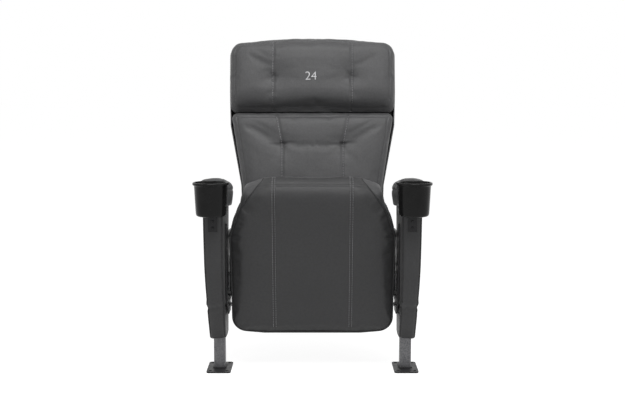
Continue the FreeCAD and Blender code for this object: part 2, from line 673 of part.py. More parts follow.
def cup_screws():
    heads = []
    for side in SIDES.values():
        for across, up in CUP_SCREWS:
            x = side * size("stand_half_span") + size(across)
            y = -size("panel_reach_top + bracket_thickness")
            shank = Part.makeCylinder(size("cup_screw_r"), size("cup_screw_length + bracket_thickness"),
                                      V(x, y, size(up)), Y_AXIS)
            head = Part.makeCone(size("cup_screw_head_r"), size("cup_screw_head_r * screw_head_taper"),
                                 size("cup_screw_head"), V(x, y, size(up)), V(0, -1, 0))
            heads.append(shank.fuse(head).Solids[0])
    solid("cup_screws", "stand", Part.makeCompound(heads))


# Hinge plates: what both pivots turn in, clamped to the posts through the panels
def stud_places():
    """Where the stop studs stand, as pairs of sizes: the seat's two, then the back's two."""
    lug = "(seat_lug_half + stop_stud_r + stop_gap) / seat_stop_radius * 180 / pi"
    crank = "(crank_lug_half + stop_stud_r + stop_gap) / crank_stop_radius * 180 / pi"
    turns = [
        ("seat", "seat_stop_radius", f"seat_lug_angle - {lug}"),
        ("seat", "seat_stop_radius", f"seat_lug_angle + seat_travel + {lug}"),
        ("back", "crank_stop_radius", f"crank_lug_angle + {crank}"),
        ("back", "crank_stop_radius", f"crank_lug_angle - back_travel - {crank}"),
    ]
    places = []
    for pivot, radius, angle in turns:
        turn = math.radians(size(angle))
        y = size(pivot + "_pivot_y") + size(radius) * math.cos(turn)
        z = size(pivot + "_pivot_z") + size(radius) * math.sin(turn)
        places.append((pivot, y, z))
    return places


def hinge_plate(name, side):
    corners = [
        ("seat_pivot_y - hinge_foot_front", "seat_pivot_z - hinge_foot"),
        ("hinge_bolt_y + hinge_rear", "seat_pivot_z - hinge_foot"),
        ("hinge_bolt_y + hinge_rear", "seat_pivot_z + hinge_waist"),
        ("back_pivot_y + hinge_back_half", "back_pivot_z - hinge_back_low"),
        ("back_pivot_y + hinge_back_half", "back_pivot_z + hinge_back_high"),
        ("back_pivot_y - hinge_back_front", "back_pivot_z + hinge_back_high"),
        ("seat_pivot_y - hinge_horn_rear", "back_pivot_z + hinge_horn_root"),
        ("seat_pivot_y - hinge_horn_tip", "back_pivot_z + hinge_horn_top"),
        ("seat_pivot_y - hinge_horn_front", "back_pivot_z + hinge_horn_low"),
        ("seat_pivot_y - hinge_belly", "seat_pivot_z + hinge_belly_high"),
        ("seat_pivot_y - hinge_chin", "seat_pivot_z - hinge_chin"),
    ]
    holes = [
        ("seat_pivot_y", "seat_pivot_z", "bush_r + press_gap"),
        ("back_pivot_y", "back_pivot_z", "bush_r + press_gap"),
    ]
    holes += [("hinge_bolt_y", level, "hinge_bolt_hole_r") for level in BOLT_LEVELS]
    start = outward(side, "hinge_inner", "hinge_thickness")
    prism(f"hinge_plate_{name}", "stand", "YZ_Plane", corners, start, "hinge_thickness", holes, "hinge_corner")


def pivot_block(name, side):
    corners = box_corners(
        "seat_pivot_y - block_width / 2",
        "seat_pivot_y + block_width / 2",
        "seat_pivot_z - block_height / 2",
        "seat_pivot_z + block_height / 2",
    )
    start = outward(side, "hinge_inner - block_thickness", "block_thickness")
    hole = [("seat_pivot_y", "seat_pivot_z", "bush_r + press_gap")]
    prism(f"pivot_block_{name}", "stand", "YZ_Plane", corners, start, "block_thickness", hole, "block_corner")


def both_sides(make):
    """The same solids on the left and on the right, as one group."""
    return Part.makeCompound([shape for side in SIDES.values() for shape in make(side)])


def ring(outer, inner, side, near, far, y, z):
    """A ring along X between two distances from the middle of the seat."""
    disc = x_cylinder(outer, side * near, side * far, y, z)
    return disc.cut(x_cylinder(inner, side * (near - 1), side * (far + 1), y, z)).Solids[0]


def stand_hardware():
    inner = size("hinge_inner")
    outer = size("hinge_inner + hinge_thickness")
    post_face = size("stand_half_span - post_width / 2")
    bolt_y = size("hinge_bolt_y")
    bore = size("pin_r + running_gap")
    seat_at = (size("seat_pivot_y"), size("seat_pivot_z"))
    back_at = (size("back_pivot_y"), size("back_pivot_z"))

    def spacers(side):
        return [
            ring(size("spacer_r"), size("hinge_bolt_hole_r"), side, outer, post_face, bolt_y, size(level))
            for level in BOLT_LEVELS
        ]

    def bolts(side):
        made = []
        for level in BOLT_LEVELS:
            far = post_face + size("post_wall + hinge_bolt_tail")
            shank = x_cylinder(size("hinge_bolt_r"), side * inner, side * far, bolt_y, size(level))
            head_in = inner - size("hinge_bolt_head")
            head = x_cylinder(size("hinge_bolt_head_r"), side * head_in, side * inner, bolt_y, size(level))
            made.append(shank.fuse(head).Solids[0])
        return made

    def seat_bush(side):
        return [ring(size("bush_r"), bore, side, inner - size("block_thickness"), outer, *seat_at)]

    def back_bush(side):
        return [ring(size("bush_r"), bore, side, inner - size("back_bush_proud"), outer, *back_at)]

    def studs(pivot):
        def make(side):
            return [
                x_cylinder(size("stop_stud_r"), side * size("hinge_inner - stud_reach"), side * inner, y, z)
                for where, y, z in stud_places()
                if where == pivot
            ]
        return make

    solid("hinge_spacers", "stand", both_sides(spacers))
    solid("hinge_bolts", "stand", both_sides(bolts))
    solid("seat_bushes", "stand", both_sides(seat_bush))
    solid("back_bushes", "stand", both_sides(back_bush))
    solid("seat_stops", "stand", both_sides(studs("seat")))
    solid("recline_stops", "stand", both_sides(studs("back")))


def torsion_set(pivot):
    """A spring-steel bar along a pivot, held by a disc at the left and by a plug in the pivot tube."""
    across, up = pivot + "_pivot_y", pivot + "_pivot_z"
    outer = "hinge_inner + hinge_thickness"
    far = f"{outer} + anchor_disc_thickness"
    rod(f"{pivot}_torsion_bar", "stand", f"-({far})", f"{far} + bar_end", "bar_r", None, across, up)
    rod(f"{pivot}_torsion_anchor", "stand", f"-({far})", "anchor_disc_thickness", "anchor_disc_r",
        "bar_r + press_gap", across, up)


# Seat: an underside pad, a board with steel bars, and the sitting cushion, all between the armrests
def seat_outline(level, inset, nose, layer):
    """The outline of a layer of the seat at a height, with its nose at a distance from the pivot."""
    rear = size("seat_rear") - inset
    half = size("seat_half_width") - inset
    shoulder = half - size(layer + "_shoulder_in")
    tip = half - size(layer + "_nose_in")
    bend = nose - size(layer + "_nose_drop")
    neck = min(size("seat_shoulder"), bend - size("seat_neck_gap"))
    start = min(size("seat_taper_start"), neck - size("seat_taper_gap"))
    right = [
        V(size("seat_rear_share") * half, rear, level),
        V(half - size("seat_rear_draw"), rear - size("seat_rear_bow"), level),
        V(half, -start, level),
        V(shoulder, -neck, level),
        V(tip, -bend, level),
        V(size("seat_crest_share") * tip, -nose, level),
    ]
    left = [V(-p.x, p.y, level) for p in reversed(right)]
    bends = [size("seat_bend_r")] * 2
    radii = [size("seat_flat_r"), size("seat_rear_corner")] + bends + [size("seat_nose_corner"), size("seat_flat_r")]
    return rounded(right + left, radii + radii[::-1])


def nose_at(level):
    """How far the rounded nose reaches at a height."""
    radius = size("seat_nose_r")
    off = level - (size("seat_under") + radius)
    return size("seat_nose_centre") + math.sqrt(max(radius**2 - off**2, 0))


def seat_pads():
    under = size("seat_under")
    seam = size("underside_thickness")
    # rolled edge of the underside: rise above the face, draw-in
    rows = [(0, 16), (1.5, 7), (5, 2), (10, 0), (seam, 1)]
    wires = []
    for rise, inset in rows:
        nose = nose_at(under + rise) - size("seat_nose_follow") * inset
        wires.append(seat_outline(under + rise, inset, nose, "under"))
    pad = loft(wires)
    reach = size("seat_nose_centre")
    tools = []
    for side in SIDES.values():
        x = side * size("underside_seam")
        tools.append(wedge(V(x, size("seat_rear"), under), V(x, -reach - seam, under), V(0, 0, -1),
                           size("seam_depth"), size("seam_half_width")))
    solid("underside_pad", "seat", cut_from(pad, tools))

    board_low = under + seam
    board_high = board_low + size("seat_board_thickness")
    inset = size("seat_board_inset")
    outline = seat_outline(board_low, inset, nose_at(board_low) - inset, "under")
    board = Part.Face(outline).extrude(V(0, 0, board_high - board_low))
    solid("seat_board", "seat", board)

    top = under + 2 * size("seat_nose_r")
    crown = size("seat_crown")
    # cushion, from the board up: height, draw-in; then the rolled top edge and the crown
    rows = [(board_high, 4), (board_high + 6, 1), (board_high + 20, 0)]
    rows += [(top - 20, 0), (top - 8, 4), (top - 1, 13), (top + 0.6 * crown, 60), (top + crown, 120)]
    wires = []
    for level, draw in rows:
        nose = nose_at(min(level, top)) - max(draw - 2, 0)
        wires.append(seat_outline(level, draw, nose, "cushion"))
    cushion = loft(wires)
    gap = size("fit_gap")
    tools = [x_cylinder(size("seat_tube_r") + gap, -size("hinge_inner"), size("hinge_inner"))]
    bar_top = -size("seat_tube_r") + gap
    for low_x, high_x, low_y, high_y in seat_bar_places():
        tools.append(
            Part.makeBox(high_x - low_x + 2 * gap, high_y - low_y + 2 * gap, bar_top - board_high + 1,
                         V(low_x - gap, low_y - gap, board_high - 1))
        )
    solid("seat_cushion", "seat", cut_from(cushion, tools))


def seat_bar_places():
    """Low and high X and Y of the left bar, the right bar and the front bar."""
    half = size("seat_bar_width") / 2
    centre = size("seat_bar_centre")
    front, rear = -size("seat_bar_front"), size("seat_bar_rear")
    cross = -size("seat_front_bar")
    return [
        (-centre - half, -centre + half, front, rear),
        (centre - half, centre + half, front, rear),
        (-centre + half, centre - half, cross - half, cross + half),
    ]


def seat_frame():
    low = "seat_under + underside_thickness + seat_board_thickness"
    depth = f"-seat_tube_r - ({low})"
    half = "seat_bar_width / 2"
    for name, side in SIDES.items():
        middle = f"{side} * seat_bar_centre"
        outline = box_corners(f"{middle} - {half}", f"{middle} + {half}", "-seat_bar_front", "seat_bar_rear")
        prism(f"seat_side_bar_{name}", "seat", "XY_Plane", outline, low, depth)
    inner = f"seat_bar_centre - {half}"
    outline = box_corners(f"-({inner})", inner, f"-seat_front_bar - {half}", f"-seat_front_bar + {half}")
    prism("seat_front_bar", "seat", "XY_Plane", outline, low, depth)
    tube_half = "seat_half_width + side_gap"
    rod("seat_pivot_tube", "seat", f"-({tube_half})", f"2 * ({tube_half})", "seat_tube_r",
        "seat_tube_r - seat_tube_wall")
    rod("seat_torsion_plug", "seat", "bar_end - plug_length", "plug_length",
        "seat_tube_r - seat_tube_wall - press_gap", "bar_r + running_gap")


def lugged_plate(disc_r, lug_reach, lug_half, turn, extra, near, far):
    """A round plate along X with a stop lug at an angle from +Y towards +Z, and a bore for its pin."""
    length = abs(far - near)
    start = min(near, far)
    plate = Part.makeCylinder(disc_r, length, V(start, 0, 0), X_AXIS)
    lug = Part.makeBox(length, lug_reach, 2 * lug_half, V(start, 0, -lug_half))
    lug.rotate(V(0, 0, 0), X_AXIS, turn)
    plate = plate.fuse(lug)
    if extra:
        plate = plate.fuse(extra)
    bore = Part.makeCylinder(size("pin_r + press_gap"), length + 2, V(start - 1, 0, 0), X_AXIS)
    return plate.cut(bore).removeSplitter().Solids[0]


def seat_arm(name, side):
    near = side * size("seat_half_width + side_gap")
    far = near + side * size("seat_arm_thickness")
    width = size("seat_tongue_half")
    reach = size("seat_tongue_reach")
    tongue = Part.makeBox(abs(far - near), reach, 2 * width, V(min(near, far), -reach, -width))
    edges = [e for e in tongue.Edges if abs(e.BoundBox.XLength - abs(far - near)) < 1e-6 and e.BoundBox.YMax < -1]
    tongue = tongue.makeFillet(size("seat_tongue_corner"), edges)
    turn = size("seat_lug_angle + seat_up_angle")
    plate = lugged_plate(size("seat_arm_r"), size("seat_lug_reach"), size("seat_lug_half"), turn, tongue, near, far)
    solid(f"seat_arm_{name}", "seat", plate)


def pivot_pin(label, frame, side):
    end = "hinge_inner + hinge_thickness - pin_end_gap"
    length = f"{end} - pin_inner"
    rod(label, frame, outward(side, "pin_inner", length), length, "pin_r", "pin_bore_r")


# Back: two cushions on a board, a steel frame and a moulded rear shell
def back_half_at(level):
    """Half of the back's width at a height above its pivot."""
    marks = [
        ("back_bottom", "back_half_bottom"),
        ("back_arm_level", "back_half_arm"),
        ("back_shoulder_level", "back_half_shoulder"),
        ("back_head_level", "back_half_head"),
        ("back_top", "back_half_head"),
    ]
    table = [(size(a), size(b)) for a, b in marks]
    for (low, a), (high, b) in zip(table, table[1:]):
        if level <= high:
            return a + (b - a) * (max(level, low) - low) / (high - low)
    return table[-1][1]


def back_outline(y, bottom, top, inset, corners, arch):
    """The back's outline, or a stretch of it, seen from the front at a depth."""
    low, high = bottom + inset, top - inset
    bends = [size(m) for m in ("back_arm_level", "back_shoulder_level", "back_head_level")]
    marks = [bottom] + [m for m in bends if bottom + 30 < m < top - 60] + [top]
    corner = len(marks) - 1
    scale = (high - low) / (top - bottom)
    right = [V(back_half_at(m) - inset, y, low + (m - bottom) * scale) for m in marks]
    room = 0.28 * (high - low)
    bend = size("back_bend_r")
    radii = [min(corners[0], room)] + [bend] * (len(right) - 2) + [min(corners[1], room)]
    for share, rise in ((0.62, 0.6), (0.25, 1)):
        right.append(V(share * right[corner].x, y, high + rise * arch))
        radii.append(size("back_arch_r"))
    left = [V(-p.x, p.y, p.z) for p in reversed(right)]
    return rounded(right + left, radii + radii[::-1])


def back_cushions():
    rear = size("cushion_back")
    front = size("back_front")
    crown = size("cushion_crown")
    wall = size("shell_wall + shell_side_gap")
    split, gap = size("cushion_split"), size("split_half")
    seam, half = size("seam_depth"), size("seam_half_width")
    toward = V(0, -1, 0)

    def pad(face, bottom, top, corners, arch):
        # from the board forward: depth, draw-in; rolled edge, then the crown
        rows = [(rear, 0), (face + 18, 0), (face + 8, 4), (face + 1, 13)]
        rows += [(face - 0.6 * crown, 40), (face - crown, 72)]
        return loft([back_outline(y, bottom, top, wall + draw, corners, arch) for y, draw in rows])

    def dimple(x, y, z):
        deep, round_r = size("tuft_depth"), size("tuft_r")
        return Part.makeCone(round_r, size("tuft_floor_r"), deep + crown, V(x, y - crown, z), Y_AXIS)

    corner = size("cushion_corner")
    lumbar = pad(front, size("back_bottom"), split - gap, (corner, corner), gap)
    head_face = front - size("headrest_lead")
    headrest = pad(head_face, split + gap, size("back_top"), (corner, size("back_top_corner")), size("back_arch"))
    lumbar_tools, head_tools = [], []
    tuft = size("lumbar_tuft_z")
    for side in SIDES.values():
        wide, low_x = side * size("lumbar_seam_top"), side * size("lumbar_seam_low")
        face = front - crown
        lumbar_tools.append(wedge(V(low_x, face, 0), V(low_x, face, tuft), toward, seam, half))
        lumbar_tools.append(wedge(V(low_x, face, tuft), V(wide, face, split), toward, seam, half))
        lumbar_tools.append(dimple(low_x, face, tuft))
        x = side * size("head_seam")
        face = head_face - crown
        head_tools.append(wedge(V(x, face, split), V(x, face, size("back_top + back_arch")), toward, seam, half))
        head_tools.append(dimple(x, face, size("head_tuft_z")))
    solid("lumbar_cushion", "back", cut_from(lumbar, lumbar_tools))
    solid("headrest_cushion", "back", cut_from(headrest, head_tools))


def back_frame():
    board = "cushion_back"
    frame_near = "cushion_back + back_board_thickness"
    bottom, top = size("back_bottom"), size("back_top")
    inset = size("shell_wall + shell_side_gap + board_inset")
    corners = (size("back_bottom_corner"), size("back_top_corner"))
    outline = back_outline(size(board), bottom, top, inset, corners, size("back_arch"))
    solid("back_board", "back", Part.Face(outline).extrude(V(0, size("back_board_thickness"), 0)))
    frame_far = f"{frame_near} + back_frame_depth"
    half = "upright_width / 2"
    low = "-link_height / 2"
    for name, side in SIDES.items():
        middle = f"{side} * upright_centre"
        outline = box_corners(f"{middle} - {half}", f"{middle} + {half}", frame_near, frame_far)
        upright = prism(f"back_upright_{name}", "back", "XY_Plane", outline, low, f"upright_top - ({low})")
        sketch = new_sketch(upright, f"screw_sketch_{name}", "XZ_Plane", f"-({frame_far})")
        for level in shell_screw_levels():
            draw_circle(sketch, middle, level, "shell_screw_r + fit_gap")
        holes = upright.newObject("PartDesign::Pocket", f"screw_holes_{name}")
        holes.Profile = sketch
        holes.Reversed = True
        holes.setExpression("Length", sized("back_frame_depth"))
    inner = f"upright_centre - {half}"
    for name, level in (("back_mid_rail", "mid_rail_z"), ("back_top_rail", "upright_top - upright_width")):
        outline = box_corners(f"-({inner})", inner, frame_near, frame_far)
        prism(name, "back", "XY_Plane", outline, level, "upright_width")
    rod("back_pivot_tube", "back", "-back_tube_half", "2 * back_tube_half", "back_tube_r",
        "back_tube_r - back_tube_wall")
    rod("back_torsion_plug", "back", "bar_end - plug_length", "plug_length",
        "back_tube_r - back_tube_wall - press_gap", "bar_r + running_gap")
    tube = x_cylinder(size("back_tube_r + press_gap"), -size("hinge_inner"), size("hinge_inner"))
    for name, side in SIDES.items():
        width, height = size("link_width"), size("link_height")
        x = side * size("upright_centre") - width / 2
        bar = Part.makeBox(width, size(frame_near), height, V(x, 0, -height / 2))
        solid(f"back_link_{name}", "back", cut_from(bar, [tube]))


def back_crank(name, side):
    near = side * size("crank_inner")
    far = near + side * size("crank_thickness")
    turn = size("crank_lug_angle + back_lean")
    plate = lugged_plate(size("crank_r"), size("crank_lug_reach"), size("crank_lug_half"), turn, None, near, far)
    solid(f"back_crank_{name}", "back", plate)


def shell_screw_levels():
    return ["shell_screw_low", "shell_screw_middle", "shell_screw_high"]


def back_shell():
    bottom, top = -size("link_height / 2 + shell_drop"), size("back_top")
    corners = (size("back_bottom_corner"), size("back_top_corner"))
    face = size("cushion_back + back_board_thickness + back_frame_depth")
    wall, bulge = size("shell_wall"), size("shell_bulge")
    start = size("shell_front")

    def shape(inset, near, back):
        # from the front edge back: depth, draw-in; rolled edge, then the bulge
        rows = [(near, 0), (back - 16, 0), (back - 6, 3), (back, 12)]
        rows += [(back + 0.7 * bulge, 60), (back + bulge, 110)]
        return loft([back_outline(y, bottom, top, inset + draw, corners, size("back_arch")) for y, draw in rows])

    inner_face = face + size("shell_room")
    outer = shape(0, start, inner_face + wall)
    inner = shape(wall, start - wall, inner_face)
    tools = [inner]
    hole = size("shell_screw_r + fit_gap")
    reach = bulge + 2 * wall
    for x, level in shell_screw_places():
        tools.append(Part.makeCylinder(hole, reach, V(x, face, level), Y_AXIS))
    solid("back_shell", "back", cut_from(outer, tools))
    screws = []
    for x, level in shell_screw_places():
        under_head = Part.makeCylinder(size("shell_screw_head_r"), reach, V(x, face, level), Y_AXIS)
        seat = outer.common(under_head).BoundBox.YMax
        into = size("shell_screw_length")
        shank = Part.makeCylinder(size("shell_screw_r"), seat - face + into, V(x, face - into, level), Y_AXIS)
        head = Part.makeCone(size("shell_screw_head_r"), size("shell_screw_head_r * screw_head_taper"),
                             size("shell_screw_head"), V(x, seat, level), Y_AXIS)
        screws.append(shank.fuse(head).Solids[0])
    solid("shell_screws", "back", Part.makeCompound(screws))


def shell_screw_places():
    return [
        (side * size("upright_centre"), size(level))
        for side in SIDES.values()
        for level in shell_screw_levels()
    ]


for name, side in SIDES.items():
    foot(name, side)
    leg_post(name, side)
    arm_panel(name, side)
    armrest_board(name, side)
    armrest_pad(name, side)
    cup_holder(name, side)
    cup_bracket(name, side)
    hinge_plate(name, side)
    pivot_block(name, side)
    seat_arm(name, side)
    pivot_pin(f"seat_pivot_pin_{name}", "seat", side)
    back_crank(name, side)
    pivot_pin(f"back_pivot_pin_{name}", "back", side)
cup_screws()
stand_hardware()
for pivot in ("seat", "back"):
    torsion_set(pivot)
seat_pads()
seat_frame()
back_cushions()
back_frame()
back_shell()

doc.recompute()
for item in doc.Objects:
    if {"Invalid", "Error"} & set(item.State):
        raise RuntimeError(f"{item.Label} failed to compute: {item.State}")
faulty = [p.Label for p in pieces if p.Shape.isNull() or not p.Shape.isValid() or not p.Shape.Solids]
if faulty:
    raise RuntimeError(f"no valid solid: {faulty}")

os.makedirs("parts", exist_ok=True)
for piece in pieces:
    piece.Shape.exportStep(f"parts/{piece.Label}.step")
whole = Part.makeCompound([piece.Shape for piece in pieces]).BoundBox
print(len(pieces), "pieces; X", whole.XMin, whole.XMax, "Y", whole.YMin, whole.YMax, "Z", whole.ZMin, whole.ZMax)
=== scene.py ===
import math

import bmesh
import bpy
import numpy as np
from mathutils import Matrix, Vector, noise
from mathutils.bvhtree import BVHTree
from mathutils.kdtree import KDTree


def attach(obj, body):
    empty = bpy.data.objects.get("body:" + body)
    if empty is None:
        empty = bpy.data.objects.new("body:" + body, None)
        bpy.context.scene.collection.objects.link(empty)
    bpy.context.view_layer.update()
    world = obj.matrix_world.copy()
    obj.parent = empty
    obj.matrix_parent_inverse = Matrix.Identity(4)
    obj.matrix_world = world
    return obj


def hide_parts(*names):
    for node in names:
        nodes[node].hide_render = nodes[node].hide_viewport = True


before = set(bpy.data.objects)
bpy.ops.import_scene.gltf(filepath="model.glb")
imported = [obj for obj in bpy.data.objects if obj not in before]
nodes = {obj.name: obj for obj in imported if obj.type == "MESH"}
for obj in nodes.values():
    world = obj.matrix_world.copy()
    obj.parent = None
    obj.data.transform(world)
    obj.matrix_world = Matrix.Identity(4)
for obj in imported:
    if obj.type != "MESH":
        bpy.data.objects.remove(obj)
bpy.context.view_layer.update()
scene = bpy.context.scene
SIDES = {"left": -1, "right": 1}

# Camera: it stands straight in front of the seat, a little below the headrest's height,
# and looks slightly down, as in the photograph.
camera_data = bpy.data.cameras.new("camera")
camera_data.sensor_width = 36
camera_data.lens = 60.5
camera = bpy.data.objects.new("camera", camera_data)
camera.location = (0, -3.3225, 0.9247)
camera.rotation_euler = (math.radians(90 - 6.79), 0, 0)
scene.collection.objects.link(camera)
scene.camera = camera
scene.view_settings.view_transform = "Standard"

# Studio: a pale floor that keeps the seat's shadow, a white surround that shows behind it,
# one broad lamp above and before the seat and two weak ones at its sides.
SURROUND_LIGHT = 0.32
FLOOR_HALF = 40


def seen_white(tree, plain, shown):
    """Mixes two shaders: what the camera and the reflections see, and what lights the seat."""
    path = tree.nodes.new("ShaderNodeLightPath")
    seen = path.outputs["Is Camera Ray"]
    for ray in ("Is Glossy Ray", "Is Transmission Ray"):
        either = tree.nodes.new("ShaderNodeMath")
        either.operation = "MAXIMUM"
        tree.links.new(seen, either.inputs[0])
        tree.links.new(path.outputs[ray], either.inputs[1])
        seen = either.outputs[0]
    mix = tree.nodes.new("ShaderNodeMixShader")
    tree.links.new(seen, mix.inputs[0])
    tree.links.new(plain, mix.inputs[1])
    tree.links.new(shown, mix.inputs[2])
    return mix.outputs[0]


world = bpy.data.worlds.new("surround")
world.use_nodes = True
scene.world = world
air = world.node_tree
air.nodes.clear()
surround = air.nodes.new("ShaderNodeOutputWorld")
dim, white = [air.nodes.new("ShaderNodeBackground") for _ in range(2)]
dim.inputs["Strength"].default_value = SURROUND_LIGHT
dim.inputs["Color"].default_value = (1, 1, 1, 1)
white.inputs["Color"].default_value = (1, 1, 1, 1)
air.links.new(seen_white(air, dim.outputs[0], white.outputs[0]), surround.inputs["Surface"])

ground = bmesh.new()
floor_corners = ((-1, -1), (1, -1), (1, 1), (-1, 1))
corners = [ground.verts.new((x * FLOOR_HALF, y * FLOOR_HALF, 0)) for x, y in floor_corners]
ground.faces.new(corners)
floor_mesh = bpy.data.meshes.new("studio_floor")
ground.to_mesh(floor_mesh)
ground.free()
floor = bpy.data.objects.new("studio_floor", floor_mesh)
scene.collection.objects.link(floor)
floor_paint = bpy.data.materials.new("studio_floor")
floor_paint.use_nodes = True
tree = floor_paint.node_tree
tree.nodes.clear()
matt, shadowed = [tree.nodes.new("ShaderNodeBsdfDiffuse") for _ in range(2)]
matt.inputs["Color"].default_value = (0.45, 0.45, 0.45, 1)
shadowed.inputs["Color"].default_value = (0.5, 0.5, 0.5, 1)
glow = tree.nodes.new("ShaderNodeEmission")
glow.inputs["Strength"].default_value = 0.84
both = tree.nodes.new("ShaderNodeAddShader")
tree.links.new(shadowed.outputs[0], both.inputs[0])
tree.links.new(glow.outputs[0], both.inputs[1])
surface = tree.nodes.new("ShaderNodeOutputMaterial")
tree.links.new(seen_white(tree, matt.outputs[0], both.outputs[0]), surface.inputs["Surface"])
floor_mesh.materials.append(floor_paint)

LAMPS = [
    # name, place, aimed at, width, power
    ("lamp_above", (0.25, -1.9, 3.3), (0, 0, 0.7), 2.2, 95),
    ("lamp_left", (-2.6, -1.6, 1.4), (0, 0, 0.5), 1.4, 10),
    ("lamp_right", (2.6, -1.6, 1.4), (0, 0, 0.5), 1.4, 12),
]
for name, place, aim, width, power in LAMPS:
    lamp_data = bpy.data.lights.new(name, "AREA")
    lamp_data.size = width
    lamp_data.energy = power
    lamp = bpy.data.objects.new(name, lamp_data)
    lamp.location = place
    lamp.rotation_euler = (Vector(aim) - Vector(place)).to_track_quat("-Z", "Y").to_euler()
    scene.collection.objects.link(lamp)


# Feet and posts: a flat steel plate with four anchor holes, painted black, and a galvanised
# rectangular tube that stands on it. A fillet weld runs round the foot of the tube.
def new_finish(name, roughness, metallic=0.0, specular=0.5):
    """A material with its shader, and the object's own coordinates for its patterns."""
    finish = bpy.data.materials.new(name)
    finish.use_nodes = True
    shader = finish.node_tree.nodes["Principled BSDF"]
    shader.inputs["Metallic"].default_value = metallic
    shader.inputs["Roughness"].default_value = roughness
    shader.inputs["Specular IOR Level"].default_value = specular
    place = finish.node_tree.nodes.new("ShaderNodeTexCoord").outputs["Object"]
    return finish, shader, place


def pattern(finish, place, kind, scale, detail=2.0, stretch=(1, 1, 1), feature=None):
    """A noise or cell pattern of a given number of grains per metre, stretched along the axes."""
    tree = finish.node_tree
    mapping = tree.nodes.new("ShaderNodeMapping")
    mapping.inputs["Scale"].default_value = stretch
    tree.links.new(place, mapping.inputs["Vector"])
    grain = tree.nodes.new(f"ShaderNodeTex{kind}")
    if feature:
        grain.feature = feature
    grain.inputs["Scale"].default_value = scale
    grain.inputs["Detail"].default_value = detail
    tree.links.new(mapping.outputs[0], grain.inputs["Vector"])
    return grain.outputs[0]


def shade_range(finish, value, low, high, from_low=0.3, from_high=0.7):
    """Turns a pattern into a number between two limits."""
    tree = finish.node_tree
    spread = tree.nodes.new("ShaderNodeMapRange")
    spread.inputs["From Min"].default_value = from_low
    spread.inputs["From Max"].default_value = from_high
    spread.inputs["To Min"].default_value = low
    spread.inputs["To Max"].default_value = high
    tree.links.new(value, spread.inputs["Value"])
    return spread.outputs["Result"]


def blend_colours(finish, share, first, second):
    """A colour between two, by a pattern. Either may be a colour or another node's output."""
    tree = finish.node_tree
    mix = tree.nodes.new("ShaderNodeMix")
    mix.data_type = "RGBA"
    tree.links.new(share, mix.inputs["Factor"])
    for socket, colour in ((mix.inputs[6], first), (mix.inputs[7], second)):
        if isinstance(colour, tuple):
            socket.default_value = (*colour, 1)
        else:
            tree.links.new(colour, socket)
    return mix.outputs[2]


def relief(finish, shader, layers, edge=0.0):
    """Stacks bumps on the shader: each layer is a height pattern and its depth in metres."""
    tree = finish.node_tree
    normal = None
    if edge:
        soft_edge = tree.nodes.new("ShaderNodeBevel")
        soft_edge.samples = 4
        soft_edge.inputs["Radius"].default_value = edge
        normal = soft_edge.outputs[0]
    for height, depth in layers:
        bump = tree.nodes.new("ShaderNodeBump")
        bump.inputs["Distance"].default_value = depth
        tree.links.new(height, bump.inputs["Height"])
        if normal:
            tree.links.new(normal, bump.inputs["Normal"])
        normal = bump.outputs[0]
    tree.links.new(normal, shader.inputs["Normal"])


def worn_edges(finish, low=0.52, high=0.62):
    """How worn an edge is, from how sharply the surface turns there."""
    tree = finish.node_tree
    turn = tree.nodes.new("ShaderNodeNewGeometry").outputs["Pointiness"]
    return shade_range(finish, turn, 0.0, 1.0, low, high)


def metal(name, colour, second, roughness, metallic, blotch, stretch=(1, 1, 1), edge=0.0008, depth=0.0001,
          specular=0.5):
    """Painted, plated or bare metal with blotches of a second colour and a fine texture."""
    finish, shader, place = new_finish(name, roughness, metallic, specular)
    spots = pattern(finish, place, "Noise", blotch, 4, stretch)
    tone = blend_colours(finish, shade_range(finish, spots, 0, 1), colour, second)
    finish.node_tree.links.new(tone, shader.inputs["Base Color"])
    rough = shade_range(finish, spots, roughness - 0.08, roughness + 0.1)
    finish.node_tree.links.new(rough, shader.inputs["Roughness"])
    fine = pattern(finish, place, "Noise", 900, 2, stretch)
    relief(finish, shader, [(fine, depth)], edge)
    return finish


def dress(finish, *names):
    """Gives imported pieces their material."""
    for name in names:
        mesh = nodes[name].data
        mesh.materials.clear()
        mesh.materials.append(finish)


def both_of(*names):
    """Left and right of each of these pieces."""
    return [f"{name}_{side}" for name in names for side in SIDES]


black_steel = metal("black_steel", (0.010, 0.010, 0.011), (0.018, 0.018, 0.019), 0.42, 0.0, 60, specular=0.25)
galvanised = metal("galvanised_steel", (0.16, 0.16, 0.165), (0.09, 0.09, 0.095), 0.46, 0.75, 240, depth=0.0002)
dress(black_steel, *both_of("foot_plate"))
dress(galvanised, *both_of("leg_post"))


def new_piece(name, vertices, faces, finish, smooth=True):
    """A mesh piece in the seat's own place, in metres."""
    mesh = bpy.data.meshes.new(name)
    mesh.from_pydata([tuple(v) for v in vertices], [], faces)
    mesh.validate()
    mesh.polygons.foreach_set("use_smooth", [smooth] * len(mesh.polygons))
    mesh.materials.append(finish)
    piece = bpy.data.objects.new(name, mesh)
    scene.collection.objects.link(piece)
    return piece


def settle(piece):
    """Applies a piece's modifiers to its mesh."""
    view = bpy.context.evaluated_depsgraph_get()
    mesh = bpy.data.meshes.new_from_object(piece.evaluated_get(view), depsgraph=view)
    piece.modifiers.clear()
    old = piece.data
    piece.data = mesh
    bpy.data.meshes.remove(old)
    return piece


